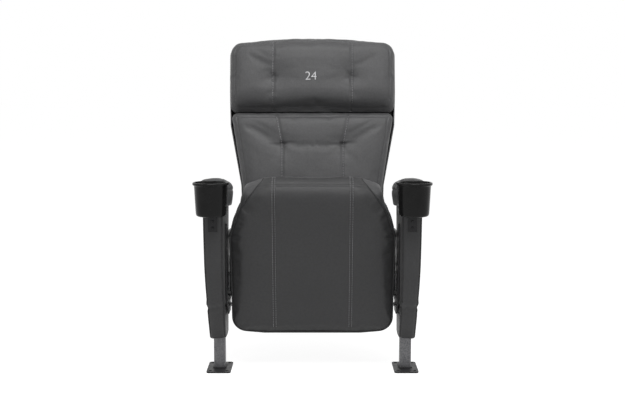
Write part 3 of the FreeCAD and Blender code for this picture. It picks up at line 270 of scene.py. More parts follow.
def tubing(name, path, radius, finish, closed=False, sides=3):
    """A round bead, welt or rod along a path, as a mesh."""
    line = bpy.data.curves.new(name, "CURVE")
    line.dimensions = "3D"
    line.bevel_depth = radius
    line.bevel_resolution = sides
    line.use_fill_caps = True
    spline = line.splines.new("POLY")
    spline.points.add(len(path) - 1)
    spline.points.foreach_set("co", [c for p in path for c in (*p, 1)])
    spline.use_cyclic_u = closed
    spline.use_smooth = True
    piece = bpy.data.objects.new(name, line)
    scene.collection.objects.link(piece)
    view = bpy.context.evaluated_depsgraph_get()
    mesh = bpy.data.meshes.new_from_object(piece.evaluated_get(view), depsgraph=view)
    bpy.data.objects.remove(piece)
    bpy.data.curves.remove(line)
    mesh.materials.clear()
    mesh.materials.append(finish)
    made = bpy.data.objects.new(name, mesh)
    scene.collection.objects.link(made)
    return made


def rounded_ring(corners, radii, count):
    """Evenly spaced points round an outline whose corners have their own radii.
    They start from the middle of its last side."""
    points = [np.array(c, float) for c in corners]
    path = []
    for i, here in enumerate(points):
        before, after = points[i - 1] - here, points[(i + 1) % len(points)] - here
        room = 0.49 * min(np.linalg.norm(before), np.linalg.norm(after))
        before, after = before / np.linalg.norm(before), after / np.linalg.norm(after)
        half = math.acos(max(-1, min(1, float(before @ after)))) / 2
        back = min(radii[i] / math.tan(half), room)
        if back < 1e-7 or half > 1.565:
            path.append(here)
            continue
        radius = back * math.tan(half)
        inward = (before + after) / np.linalg.norm(before + after)
        centre = here + inward * radius / math.sin(half)
        start, end = here + before * back - centre, here + after * back - centre
        turn = math.pi - 2 * half
        steps = 10
        for k in range(steps + 1):
            share = k / steps
            arc = (math.sin((1 - share) * turn) * start + math.sin(share * turn) * end) / math.sin(turn)
            path.append(centre + arc)
    path.insert(0, (path[0] + path[-1]) / 2)
    path.append(path[0])
    path = np.array(path)
    run = np.concatenate([[0], np.cumsum(np.linalg.norm(np.diff(path, axis=0), axis=1))])
    marks = np.linspace(0, run[-1], count, endpoint=False)
    return np.stack([np.interp(marks, run, path[:, k]) for k in range(2)], axis=1)


def skinned(rings, ends=True):
    """Vertices and faces of a closed skin through rings of equally many points."""
    count = len(rings[0])
    faces = []
    for level in range(len(rings) - 1):
        low, high = level * count, (level + 1) * count
        for i in range(count):
            j = (i + 1) % count
            faces.append((low + i, low + j, high + j, high + i))
    vertices = [p for ring in rings for p in ring]
    if ends:
        faces.append(tuple(reversed(range(count))))
        faces.append(tuple(range((len(rings) - 1) * count, len(rings) * count)))
    return vertices, faces


POST_X, POST_Y = 0.302, 0.0296
for side_name, side in SIDES.items():
    weld_corners = [(-0.019, -0.0235), (0.019, -0.0235), (0.019, 0.0235), (-0.019, 0.0235)]
    weld_path = rounded_ring(weld_corners, [0.004] * 4, 90)
    bead = []
    for i, (x, y) in enumerate(weld_path):
        ripple = 1 + 0.035 * math.sin(i * 2.1)
        bead.append((side * POST_X + x * ripple, POST_Y + y * ripple, 0.0055))
    weld = tubing(f"post_weld_{side_name}", bead, 0.0032, black_steel, closed=True)
    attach(weld, "stand")

# Mechanism between the panels and the seat: black side plates with cast pivot blocks, zinc-plated
# hardware, nylon bushes, rubber stops and spring-steel bars. Three hexagon bolts clamp each plate.
cast_block = metal("cast_block", (0.30, 0.30, 0.31), (0.22, 0.22, 0.23), 0.5, 0.6, 90, depth=0.0003)
zinc = metal("zinc_steel", (0.42, 0.42, 0.43), (0.30, 0.30, 0.31), 0.34, 0.9, 130)
spring_steel = metal("spring_steel", (0.10, 0.10, 0.11), (0.06, 0.06, 0.065), 0.4, 0.8, 70, (0.1, 1, 1))
nylon = metal("nylon", (0.55, 0.54, 0.50), (0.48, 0.47, 0.44), 0.55, 0.0, 40)
rubber = metal("stop_rubber", (0.014, 0.014, 0.014), (0.022, 0.022, 0.022), 0.8, 0.0, 80, depth=0.0003)
dress(black_steel, *both_of("hinge_plate", "seat_arm", "back_crank"))
dress(cast_block, *both_of("pivot_block"))
dress(zinc, "hinge_spacers", *both_of("seat_pivot_pin", "back_pivot_pin"))
dress(spring_steel, "seat_torsion_bar", "back_torsion_bar", "seat_torsion_anchor", "back_torsion_anchor",
      "seat_torsion_plug", "back_torsion_plug")
dress(nylon, "seat_bushes", "back_bushes")
dress(rubber, "seat_stops", "recline_stops")

PLATE_INNER = 0.266
BOLT_LEVELS = (0.212, 0.345, 0.436)
BOLT_Y = POST_Y - 0.005


def hexagon_bolt(x, y, z, side):
    """A bolt along X: a washer, a chamfered hexagon head before the plate, and its shank behind."""
    rings = []
    profile = [(-0.0001, 0.0, 24), (-0.0001, 0.0078, 24), (-0.0010, 0.0081, 24), (-0.0012, 0.0076, 24),
               (-0.0012, 0.0066, 6), (-0.0050, 0.0066, 6), (-0.0058, 0.0056, 24), (-0.0058, 0.0, 24)]
    for along, radius, corners in profile:
        ring = []
        for i in range(24):
            turn = 2 * math.pi * i / 24
            flat = radius
            if corners == 6:
                off_flat = (turn + math.pi / 6) % (math.pi / 3) - math.pi / 6
                flat = radius * math.cos(math.pi / 6) / math.cos(off_flat)
            ring.append((x + side * along, y + flat * math.cos(turn), z + flat * math.sin(turn)))
        rings.append(ring)
    turns = [2 * math.pi * i / 24 for i in range(24)]
    shank = [[(x + side * a, y + 0.004 * math.cos(t), z + 0.004 * math.sin(t)) for t in turns]
             for a in (0.0002, 0.028)]
    return [skinned(rings[1:-1]), skinned(shank)]


bolt_vertices, bolt_faces = [], []
for side in SIDES.values():
    for level in BOLT_LEVELS:
        for vertices, faces in hexagon_bolt(side * PLATE_INNER, BOLT_Y, level, side):
            start = len(bolt_vertices)
            bolt_vertices += vertices
            bolt_faces += [tuple(start + i for i in face) for face in faces]
bolts = new_piece("plate_bolts", bolt_vertices, bolt_faces, zinc, smooth=False)
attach(bolts, "stand")
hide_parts("hinge_bolts")


# Arm panels: foam over board in black leatherette, pulled tight round the post. The front is bowed,
# a piped seam runs down both front edges, and the cover creases where the bow turns in.
def leatherette(name, colour, lifted, roughness=0.5, specular=0.32):
    """Coated cloth: a pebbled grain, faint creases, uneven tone and paler worn edges."""
    finish, shader, place = new_finish(name, roughness, 0.0, specular)
    links = finish.node_tree.links
    broad = pattern(finish, place, "Noise", 5, 3)
    fine_tone = pattern(finish, place, "Noise", 160, 3)
    tone = blend_colours(finish, shade_range(finish, broad, 0, 1), colour, lifted)
    speckled = tuple(c * 0.78 for c in colour)
    tone = blend_colours(finish, shade_range(finish, fine_tone, 0, 0.5, 0.4, 0.75), tone, speckled)
    rubbed = tuple(min(1, c * 1.6 + 0.01) for c in lifted)
    tone = blend_colours(finish, worn_edges(finish, 0.55, 0.72), tone, rubbed)
    links.new(tone, shader.inputs["Base Color"])
    links.new(shade_range(finish, broad, roughness - 0.05, roughness + 0.06), shader.inputs["Roughness"])
    shader.inputs["Sheen Weight"].default_value = 0.06
    shader.inputs["Sheen Roughness"].default_value = 0.5
    pebbles = pattern(finish, place, "Voronoi", 620, 1, feature="SMOOTH_F1")
    creases = pattern(finish, place, "Noise", 75, 4, (1, 1, 0.6))
    swell = pattern(finish, place, "Noise", 16, 2)
    relief(finish, shader, [(swell, 0.002), (creases, 0.0006), (pebbles, 0.00025)])
    return finish


panel_cover = leatherette("panel_leatherette", (0.030, 0.030, 0.031), (0.040, 0.040, 0.041))
piping_cover = leatherette("piping_leatherette", (0.032, 0.032, 0.033), (0.042, 0.042, 0.043), 0.58, 0.2)

PANEL_LOW, PANEL_HIGH = 0.113, 0.546
PANEL_CREASE = 0.229
# height, and how far the panel's front stands before the post
PANEL_FRONT = [(0.113, 0.066), (0.18, 0.113), (0.259, 0.155), (0.31, 0.180), (0.361, 0.198), (0.4535, 0.205),
               (0.56, 0.205)]


def eased(levels, table):
    """A smooth curve through a table of heights and distances."""
    heights, reaches = zip(*table)
    fine = np.linspace(heights[0], heights[-1], 200)
    line = np.interp(fine, heights, reaches)
    for _ in range(3):
        line = np.convolve(np.pad(line, 6, mode="reflect", reflect_type="odd"), np.ones(13) / 13, "valid")
    return np.interp(levels, fine, line)


def panel_half(level):
    return (0.053 + (0.062 - 0.053) * (level - PANEL_LOW) / (PANEL_HIGH - PANEL_LOW)) / 2


def ripples(across, up, layer):
    """A smooth random height at each point, from two distances counted in ripples."""
    return np.array([noise.noise(Vector((a, b, layer))) for a, b in zip(across, up)])


def cup_of(value, centre, half):
    """A smooth hollow: 1 at its centre and 0 at half its width and beyond."""
    return np.clip(1 - ((value - centre) / half) ** 2, 0, 1) ** 2


def arm_panel_rings(side):
    rings = []
    levels = np.concatenate([[0.1135, 0.1145, 0.117, 0.120], np.arange(0.124, 0.548, 0.004)])
    reaches = eased(levels, PANEL_FRONT)
    for level, reach in zip(levels, reaches):
        hem = 0.004 * max(0, 1 - (level - PANEL_LOW) / 0.007) ** 2
        half = panel_half(level) - hem
        low, high = -reach + hem, 0.030 - hem
        corners = [(-half, high), (half, high), (half, low), (-half, low)]
        ring = rounded_ring([(-x, y) for x, y in corners], [0.006, 0.006, 0.012, 0.012], 150)
        across, along = ring[:, 0], ring[:, 1]
        middle = (low + high) / 2
        # the foam swells the sides and the front a little between the seams
        side_swell = cup_of(along, middle, (high - low) / 2) * 0.0012
        face_swell = cup_of(across, 0, half) * np.where(along < low + 0.02, 0.0022, 0)
        # the cover puckers where the bow turns in
        wave = ripples(across * 60, along * 28, level * 5 + side * 7)
        crease = PANEL_CREASE + 0.006 * wave - 0.004 * np.clip((along - low) / 0.05, 0, 1)
        strength = np.clip(1.25 - (along - low) / 0.10, 0, 1)
        tuck = 0.0024 * cup_of(level, crease, 0.012) - 0.0016 * cup_of(level, crease + 0.014, 0.016)
        tuck *= strength
        tuck += 0.0014 * cup_of(level, crease - 0.024 + 0.008 * wave, 0.008) * strength * (wave > -0.1)
        shift_x = np.sign(across) * (side_swell - tuck) * (np.abs(across) > half - 0.004)
        front_share = np.clip(1 - (along - low) / 0.004, 0, 1)
        shift_y = -(face_swell - tuck) * front_share
        sag = 0.0025 * np.clip(side * across / half, 0, 1) * max(0, 1 - (level - PANEL_LOW) / 0.05)
        x = side * POST_X + across + shift_x
        y = POST_Y + along + shift_y
        rings.append(np.stack([x, y, np.full(len(x), level) - sag], axis=1))
    return rings


for side_name, side in SIDES.items():
    panel = new_piece(f"arm_panel_cover_{side_name}", *skinned(arm_panel_rings(side)), panel_cover)
    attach(panel, "stand")
    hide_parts(f"arm_panel_{side_name}")
    for edge_name, edge in (("inner", -side), ("outer", side)):
        levels = np.arange(0.119, 0.545, 0.005)
        reaches = eased(levels, PANEL_FRONT)
        path = []
        for level, reach in zip(levels, reaches):
            inside = 0.0035 + 0.002 * cup_of(level, PANEL_CREASE, 0.012)
            across = side * POST_X + edge * (panel_half(level) - inside)
            path.append((across, POST_Y - reach + inside, level))
        welt = tubing(f"panel_piping_{edge_name}_{side_name}", path, 0.0022, piping_cover)
        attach(welt, "stand")

# Armrests: a plywood board, stained black, on each panel under a crowned foam pad. The cover's skirt
# gets deeper to the rear, and a seam runs round the pad below its rolled top.
plywood = metal("plywood", (0.42, 0.29, 0.17), (0.32, 0.21, 0.12), 0.6, 0.0, 30, (0.3, 3, 12), depth=0.0003)
stained_board = metal("stained_board", (0.014, 0.013, 0.012), (0.022, 0.020, 0.018), 0.6, 0.0, 30, (0.3, 3, 12),
                      depth=0.0003)
dress(stained_board, *both_of("armrest_board"))
armrest_cover = leatherette("armrest_leatherette", (0.036, 0.036, 0.037), (0.050, 0.050, 0.051), 0.44, 0.4)
THREAD_RADIUS = 0.0005
SEAT_STITCH = (0.0078, 0.0062)
BACK_STITCH = (0.0085, 0.0068)
thread_finish = metal("pale_thread", (0.36, 0.36, 0.37), (0.26, 0.26, 0.27), 0.75, 0.0, 900, depth=0.0001)


def remeshed(piece, voxel):
    """Gives a piece an even skin of small squares."""
    even = piece.modifiers.new("even", "REMESH")
    even.mode = "VOXEL"
    even.voxel_size = voxel
    even.use_smooth_shade = True
    return settle(piece)


def positions(piece):
    at = np.empty(len(piece.data.vertices) * 3, np.float32)
    piece.data.vertices.foreach_get("co", at)
    return at.reshape(-1, 3).astype(float)


def directions(piece):
    out = np.empty(len(piece.data.vertices) * 3, np.float32)
    piece.data.vertices.foreach_get("normal", out)
    return out.reshape(-1, 3).astype(float)


def move_to(piece, at):
    piece.data.vertices.foreach_set("co", np.ascontiguousarray(at, np.float32).ravel())
    piece.data.update()


def stuffed(piece, held, cap, pressure=4.0, slack=0.0):
    """Swells a closed cover by the pressure of its foam: held is how firmly each point is tied down."""
    before = positions(piece)
    group = piece.vertex_groups.new(name="held")
    for share in np.unique(np.round(held, 2)):
        if share > 0:
            members = np.nonzero(np.round(held, 2) == share)[0]
            group.add([int(i) for i in members], float(share), "REPLACE")
    cloth = piece.modifiers.new("foam", "CLOTH")
    rules = cloth.settings
    rules.quality = 3
    rules.mass = 0.4
    rules.tension_stiffness = rules.compression_stiffness = 12
    rules.shear_stiffness = 6
    rules.bending_stiffness = 4.0
    rules.use_pressure = True
    rules.uniform_pressure_force = pressure
    rules.shrink_min = -slack
    rules.vertex_group_mass = "held"
    rules.effector_weights.gravity = 0
    cloth.collision_settings.use_collision = False
    for moment in range(1, 21):
        scene.frame_set(moment)
    view = bpy.context.evaluated_depsgraph_get()
    swollen = piece.evaluated_get(view)
    after = np.empty(len(before) * 3, np.float32)
    swollen.data.vertices.foreach_get("co", after)
    after = after.reshape(-1, 3).astype(float)
    piece.modifiers.clear()
    piece.vertex_groups.clear()
    scene.frame_set(1)
    step = after - before
    length = np.linalg.norm(step, axis=1, keepdims=True)
    soft_cap = cap * np.tanh(length / cap)
    move_to(piece, before + step * soft_cap / np.maximum(length, 1e-9))
    return piece


def finer(piece):
    """One subdivision, applied."""
    smooth = piece.modifiers.new("smooth", "SUBSURF")
    smooth.levels = smooth.render_levels = 1
    return settle(piece)


ARM_FRONT, ARM_BACK = -0.194, 0.050


def armrest_rings():
    rings = []
    length = ARM_BACK - ARM_FRONT
    for off in (0, 0.002, 0.006, 0.012, 0.022, 0.06, 0.12, length / 2):
        roll = max(0, 1 - off / 0.022)
        draw = 0.012 * roll**2
        for y in (ARM_FRONT + off, ARM_BACK - off):
            share = (y - ARM_FRONT) / length
            low = 0.554 + share * (0.528 - 0.554)
            top = 0.639 + share * (0.610 - 0.639) - draw * 1.3
            half = 0.0455 - draw
            shoulder = top - 0.006
            right = [(half - 0.005, low), (half, (low + shoulder) / 2), (half - 0.001, shoulder)]
            corners = right + [(0, top)] + [(-x, z) for x, z in reversed(right)]
            ring = rounded_ring(corners, [0.004, 0.03, 0.022, 0.11, 0.022, 0.03, 0.004], 80)
            rings.append((y, [(x, y, z) for x, z in ring]))
    rings.sort(key=lambda pair: pair[0])
    middle = len(rings) // 2
    return [ring for _, ring in rings[:middle] + rings[middle + 1:]]


for side_name, side in SIDES.items():
    pad = new_piece(f"armrest_cover_{side_name}", *skinned(armrest_rings()), armrest_cover)
    remeshed(pad, 0.004)
    at = positions(pad)
    low_edge = 0.554 - 0.026 * (at[:, 1] - ARM_FRONT) / (ARM_BACK - ARM_FRONT)
    stuffed(pad, np.clip(1 - (at[:, 2] - low_edge - 0.003) / 0.012, 0, 1), 0.006, slack=0.01)
    finer(pad)
    at, out = positions(pad), directions(pad)
    share = (at[:, 1] - ARM_FRONT) / (ARM_BACK - ARM_FRONT)
    seam_level = 0.605 - 0.026 * share
    groove = cup_of(at[:, 2], seam_level, 0.005) * (np.abs(out[:, 2]) < 0.9)
    ripple = np.array([noise.noise(Vector(p * 38)) for p in at])
    at -= out * (0.0018 * groove + 0.0008 * ripple)[:, None]
    at += np.array([side * POST_X, POST_Y, 0])
    move_to(pad, at)
    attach(pad, "stand")
    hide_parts(f"armrest_pad_{side_name}")

# Cup holders: a moulded cup in gloss black plastic with a flanged rim, on a folded steel bracket
# that two screws hold to the panel's front.
cup_plastic = metal("cup_plastic", (0.005, 0.005, 0.005), (0.008, 0.008, 0.008), 0.22, 0.0, 25, edge=0,
                    depth=0.00005, specular=0.13)
dress(black_steel, *both_of("cup_bracket"))
dress(black_steel, "cup_screws")
CUP_Y = POST_Y - 0.253
CUP_LOW = 0.531
# radius and height above the cup's underside, from the middle of the underside to the inside's floor
CUP_PROFILE = [
    (0.001, 0.0015), (0.030, 0.0015), (0.032, 0.0), (0.038, 0.0), (0.042, 0.0015), (0.0445, 0.005),
    (0.0455, 0.010), (0.0490, 0.090),
    (0.0496, 0.0925), (0.0525, 0.0930), (0.0538, 0.0942), (0.0540, 0.0960), (0.0540, 0.0985),
    (0.0532, 0.1008), (0.0515, 0.1018), (0.0490, 0.1018), (0.0476, 0.1010), (0.0468, 0.0990), (0.0462, 0.0900),
    (0.0428, 0.012), (0.0415, 0.006), (0.038, 0.0032), (0.012, 0.0030), (0.001, 0.0030),
]


def turned(profile, around=128):
    """A turned or moulded round form about the upright axis."""
    rings = []
    for radius, height in profile:
        turns = [2 * math.pi * i / around for i in range(around)]
        rings.append([(radius * math.cos(t), radius * math.sin(t), height) for t in turns])
    return skinned(rings)


for side_name, side in SIDES.items():
    vertices, faces = turned(CUP_PROFILE)
    cup = new_piece(f"cup_{side_name}", vertices, faces, cup_plastic)
    cup.data.transform(Matrix.Translation((side * POST_X, CUP_Y, CUP_LOW)))
    finer(cup)
    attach(cup, "stand")
    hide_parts(f"cup_holder_{side_name}")

# Seat frame: a plywood board with steel bars on it, a pivot tube across the rear and a plate at
# each end of the tube.
dress(plywood, "seat_board")
dress(black_steel, "seat_front_bar", "seat_pivot_tube", *both_of("seat_side_bar"))
SEAT_FRAME = Matrix.Translation((0, -0.0204, 0.293)) @ Matrix.Rotation(math.radians(-79), 4, "X")
NOSE_Y, NOSE_R = -0.282, 0.065
UNDERSIDE = -0.050
NOSE_MIDDLE = UNDERSIDE + NOSE_R

# Underside cover: the large stitched panel of the tipped-up seat. It is a thin foam pad sewn flat,
# with a welt round it, and drawn round the nose roll; pale double rows of thread hold it.
seat_panel_cover = leatherette("underside_leatherette", (0.029, 0.029, 0.030), (0.038, 0.038, 0.039))
PAD_THICK = 0.0165
REAR_Y = 0.155
BEND_START = REAR_Y - NOSE_Y
# the pad's front end, measured along the cover from its rear edge
PAD_END = BEND_START + NOSE_R * math.radians(97)


def pad_outline(inset, count=520):
    """The pad's outline when it lies flat: across, and along the cover from the rear edge."""
    right = [
        (0.154, 0), (0.254, 0.009), (0.257, 0.325), (0.229, 0.408), (0.188, 0.466), (0.157, 0.517),
        (0.153, PAD_END),
    ]
    radii = [0.07, 0.046, 0.1, 0.1, 0.1, 0.04, 0.02]
    shrunk = []
    for x, s in right:
        along = inset if s < 0.02 else (-inset if s == PAD_END else 0)
        shrunk.append((x - inset, s + along))
    corners = shrunk + [(-x, s) for x, s in reversed(shrunk)]
    return rounded_ring(corners, radii + radii[::-1], count)


def wrap(points):
    """Bends the flat pad along the seat's underside and round the nose roll. The third number is depth."""
    x, s, depth = points[:, 0], points[:, 1], points[:, 2]
    turn = np.clip((s - BEND_START) / NOSE_R, 0, None)
    flat_y = REAR_Y - np.minimum(s, BEND_START)
    reach = NOSE_R - depth
    y = flat_y - np.sin(turn) * reach
    z = NOSE_MIDDLE - np.cos(turn) * reach
    return np.stack([x, y, z], axis=1)


def ring_distance(points, outline):
    """How far points are from a closed outline, in its plane."""
    ends = np.roll(outline, -1, axis=0)
    dense = np.concatenate([outline + (ends - outline) * share for share in (0, 0.25, 0.5, 0.75)])
    tree = KDTree(len(dense))
    for i, (a, b) in enumerate(dense):
        tree.insert((a, b, 0), i)
    tree.balance()
    return np.array([tree.find((a, b, 0))[2] for a, b in points])


def in_row(points, place):
    """Points of a turned frame, in the seat's resting place."""
    turn = np.array(place.to_3x3())
    return points @ turn.T + np.array(place.translation)


def thread_row(name, path, out, stitch, finish):
    """Short stitches along a path: each is a fine rounded bar that dips in at both ends."""
    pitch, length = stitch
    path, out = np.array(path), np.array(out)
    run = np.concatenate([[0], np.cumsum(np.linalg.norm(np.diff(path, axis=0), axis=1))])
    vertices, faces = [], []
    marks = np.arange(pitch / 2, run[-1] - pitch / 2, pitch)
    for mark in marks:
        rings = []
        for share in (-0.5, -0.38, -0.15, 0.15, 0.38, 0.5):
            s = mark + share * length
            centre = np.array([np.interp(s, run, path[:, k]) for k in range(3)])
            up = np.array([np.interp(s, run, out[:, k]) for k in range(3)])
            up = up / np.linalg.norm(up)
            ahead = np.array([np.interp(s + 0.001, run, path[:, k]) for k in range(3)]) - centre
            across = np.cross(ahead, up)
            across = across / max(np.linalg.norm(across), 1e-9)
            lift = THREAD_RADIUS * (0.9 - 5.2 * max(0, abs(share) - 0.3))
            thick = THREAD_RADIUS * (1.15 - 1.1 * max(0, abs(share) - 0.3) * 5)
            ring = []
            for k in range(6):
                turn = k * math.pi / 3
                ring.append(centre + up * (lift + thick * math.sin(turn)) + across * thick * math.cos(turn))
            rings.append(ring)
        more, sides = skinned(rings)
        start = len(vertices)
        vertices += more
        faces += [tuple(start + i for i in face) for face in sides]
    return new_piece(name, vertices, faces, finish)


# depth below the face, and draw-in of the outline there
flat_rows = [(PAD_THICK, 0.004), (0.013, 0.001), (0.009, 0.0), (0.0055, 0.0015), (0.003, 0.005),
             (0.0012, 0.011), (0.0, 0.019)]
rings = [np.column_stack([pad_outline(inset), np.full(520, depth)]) for depth, inset in flat_rows]
underside = new_piece("underside_cover", *skinned(rings), seat_panel_cover)
remeshed(underside, 0.0045)
stuffed(underside, np.where(positions(underside)[:, 2] > 0.010, 1.0, 0.0), 0.006, slack=0.004)
finer(underside)

UNDER_SEAM_X = 0.120
NOSE_SEAM_S = BEND_START + NOSE_R * math.radians(47)
at = positions(underside)
x, s, depth = at.T
face = np.clip(1 - depth / 0.008, 0, 1)
edge = ring_distance(at[:, :2], pad_outline(0))
groove = 0.0026 * np.maximum(cup_of(np.abs(x), UNDER_SEAM_X, 0.0065), cup_of(s, NOSE_SEAM_S, 0.006))
ripple = ripples(x * 11, s * 9, 3.0)
edge_pull = ripples(x * 45, s * 45, 8.0) * np.clip(1 - edge / 0.05, 0, 1)
seam_pull = ripples(x * 20, s * 70, 5.0) * cup_of(np.abs(x), UNDER_SEAM_X, 0.03)
at[:, 2] += face * (groove + 0.0012 * ripple + 0.0012 * edge_pull + 0.0007 * seam_pull)
move_to(underside, at)
flat_tree = BVHTree.FromPolygons([tuple(p) for p in at], [tuple(p.vertices) for p in underside.data.polygons])
move_to(underside, in_row(wrap(at), SEAT_FRAME))
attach(underside, "seat")
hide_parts("underside_pad")


def on_pad(x, s):
    """The face of the flat pad at a place."""
    hit = flat_tree.ray_cast(Vector((x, s, -0.05)), Vector((0, 0, 1)))[0]
    return hit.z if hit else 0.001


for seam_name, seam_x in (("left", -UNDER_SEAM_X), ("right", UNDER_SEAM_X)):
    for row_name, off in (("inner", -0.0042), ("outer", 0.0042)):
        x = seam_x + off * (1 if seam_x > 0 else -1)
        marks = np.arange(0.022, PAD_END - 0.012, 0.004)
        flat = np.array([(x, s, on_pad(x, s)) for s in marks])
        lifted = flat - np.array([0, 0, 0.01])
        path = in_row(wrap(flat), SEAT_FRAME)
        out = in_row(wrap(lifted), SEAT_FRAME) - path
        row = thread_row(f"underside_thread_{seam_name}_{row_name}", path, out, SEAT_STITCH, thread_finish)
        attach(row, "seat")

welt_ring = pad_outline(0.0006)
welt_path = in_row(wrap(np.column_stack([welt_ring, np.full(len(welt_ring), 0.0082)])), SEAT_FRAME)
under_welt = tubing("underside_piping", welt_path, 0.0024, piping_cover, closed=True)
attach(under_welt, "seat")

# Sitting cushion: moulded foam in a fitted leatherette cover, over the board and its bars. Its sides
# are a boxed strip, a little loose, and its top is crowned with two stitched channels.
# The back and sitting cushions' leatherette is given a lighter colour than the underside and arm panel covers:
# partly its own tone, partly painted light for the lamp light that falls more fully on the back cushions.
back_cover_with_painted_light = leatherette("back_leatherette_with_painted_light", (0.057, 0.057, 0.0585), (0.071, 0.071, 0.073), 0.5)


def seat_ring(level, draw, nose):
    """The cushion's outline at a height, with its nose at a distance from the pivot."""
    half = 0.2555 - draw
    rear = 0.1535 - draw
    shoulder, tip = half - 0.031, half - 0.044
    bend = nose - 0.024
    neck = min(0.258, bend - 0.024)
    start = min(0.190, neck - 0.040)
    right = [(0.6 * half, rear), (half - 0.003, rear - 0.009), (half, -start), (shoulder, -neck), (tip, -bend),
             (0.68 * tip, -nose)]
    radii = [0.07, 0.046, 0.05, 0.04, 0.024, 0.07]
    corners = right + [(-x, y) for x, y in reversed(right)]
    ring = rounded_ring(corners, radii + radii[::-1], 420)
    return [(x, y, level) for x, y in ring]


def nose_reach(level):
    off = min(level, 0.079) - NOSE_MIDDLE
    return 0.282 + math.sqrt(max((NOSE_R - 0.0035) ** 2 - off**2, 0.0001))


# height above the pivot, and draw-in of the outline there
seat_rows = [(-0.0325, 0.006), (-0.028, 0.002), (-0.020, 0.0), (-0.005, 0.0), (0.012, 0.0), (0.030, 0.0),
             (0.050, 0.0), (0.062, 0.0015), (0.070, 0.005),
             (0.076, 0.011), (0.0795, 0.020), (0.082, 0.045), (0.0835, 0.09)]
rings = []
for level, draw in seat_rows:
    rings.append(seat_ring(level, draw, nose_reach(level) - max(draw - 0.004, 0)))
cushion = new_piece("seat_cover", *skinned(rings), back_cover_with_painted_light)
remeshed(cushion, 0.005)
at = positions(cushion)
held = np.where(at[:, 2] < -0.026, 1.0, np.clip(0.75 - (at[:, 2] + 0.026) / 0.06, 0, 1))
held = np.where(at[:, 1] < -0.30, 1.0, held)
stuffed(cushion, held, 0.012, slack=0.01)
finer(cushion)
at, out = positions(cushion), directions(cushion)
top_share = np.clip((out[:, 2] - 0.5) / 0.3, 0, 1)
side_share = np.clip(1 - np.abs(out[:, 2]) * 1.6, 0, 1) * np.clip((at[:, 1] + 0.34) / 0.05, 0, 1)
groove = np.maximum(cup_of(np.abs(at[:, 0]), UNDER_SEAM_X, 0.007), cup_of(at[:, 1], -0.238, 0.006))
groove *= 0.003 * top_share
around = np.arctan2(at[:, 1] + 0.09, at[:, 0])
ripple = ripples(around * 16, at[:, 2] * 9, 1.5)
swell = np.array([noise.noise(Vector(p * 12)) for p in at])
at -= out * (groove + 0.0016 * side_share * ripple + 0.0015 * top_share * swell)[:, None]
seat_tree = BVHTree.FromPolygons([tuple(p) for p in at], [tuple(p.vertices) for p in cushion.data.polygons])
move_to(cushion, in_row(at, SEAT_FRAME))
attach(cushion, "seat")
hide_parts("seat_cushion")


def laid_on(tree, starts, heading):
    """Where lines from a row of points meet a surface, and the surface's direction there."""
    path, out = [], []
    for start in starts:
        hit, normal, _, _ = tree.ray_cast(Vector(start), Vector(heading))
        if hit:
            path.append(tuple(hit))
            out.append(tuple(normal))
    return np.array(path), np.array(out)


def turned_out(directions_in, place):
    return np.array(directions_in) @ np.array(place.to_3x3()).T


for seam_name, seam_x in (("left", -UNDER_SEAM_X), ("right", UNDER_SEAM_X)):
    for row_name, off in (("inner", -0.0045), ("outer", 0.0045)):
        x = seam_x + off * (1 if seam_x > 0 else -1)
        path, out = laid_on(seat_tree, [(x, y, 0.2) for y in np.arange(0.12, -0.30, -0.004)], (0, 0, -1))
        row = thread_row(f"seat_thread_{seam_name}_{row_name}", in_row(path, SEAT_FRAME),
                         turned_out(out, SEAT_FRAME), SEAT_STITCH, thread_finish)
        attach(row, "seat")
edge_ring = np.array(seat_ring(0.0715, 0.0035, nose_reach(0.0715)))
rear_part = edge_ring[edge_ring[:, 1] > -0.285]
order = np.argsort(np.arctan2(rear_part[:, 1] + 0.285, -rear_part[:, 0]))
seat_welt = tubing("seat_piping", in_row(rear_part[order], SEAT_FRAME), 0.0027, piping_cover)
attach(seat_welt, "seat")

# Back frame: steel uprights and rails behind a plywood board, stained black, on two links that hang on a tube
# between the side plates.
dress(stained_board, "back_board")
dress(black_steel, "back_mid_rail", "back_top_rail", "back_pivot_tube", *both_of("back_upright", "back_link"))
BACK_FRAME = Matrix.Translation((0, 0.0676, 0.432)) @ Matrix.Rotation(math.radians(-13), 4, "X")
BACK_HALF = [(0.018, 0.228), (0.166, 0.234), (0.366, 0.271), (0.480, 0.274), (0.633, 0.274)]
SHELL_ROOM = 0.0045


def back_ring(low, high, inset, corner_low, corner_high, arch, count=420):
    """The back's outline between two heights, seen from the front."""
    marks = [low] + [m for m, _ in BACK_HALF[1:4] if low + 0.03 < m < high - 0.06] + [high]
    levels, halves = zip(*BACK_HALF)
    scale = (high - low - 2 * inset) / (high - low)
    right = [(np.interp(m, levels, halves) - SHELL_ROOM - inset, low + inset + (m - low) * scale)
             for m in marks]
    room = 0.3 * (high - low - 2 * inset)
    radii = [min(corner_low, room)] + [0.06] * (len(right) - 2) + [min(corner_high, room)]
    edge = right[-1]
    for share, rise in ((0.62, 0.6), (0.25, 1)):
        right.append((share * edge[0], high - inset + rise * arch))
        radii.append(0.25)
    corners = right + [(-x, z) for x, z in reversed(right)]
    return rounded_ring(corners, radii + radii[::-1], count)


def back_pad(name, rows, low, high, corner_low, corner_high, arch, finish):
    rings = []
    for depth, inset in rows:
        ring = back_ring(low, high, inset, corner_low, corner_high, arch)
        rings.append(np.column_stack([ring[:, 0], np.full(len(ring), depth), ring[:, 1]]))
    return new_piece(name, *skinned(rings), finish)


def drawn_in(at, x, z, face, depth, radius):
    """Pulls the face in at a tuft, most at its centre."""
    off = np.sqrt((at[:, 0] - x) ** 2 + (at[:, 2] - z) ** 2)
    share = np.exp(-(off / radius) ** 2) * 0.45 + np.exp(-(off / (0.42 * radius)) ** 2) * 0.55
    return depth * share * np.clip((face + 0.03 - at[:, 1]) / 0.02, 0, 1)


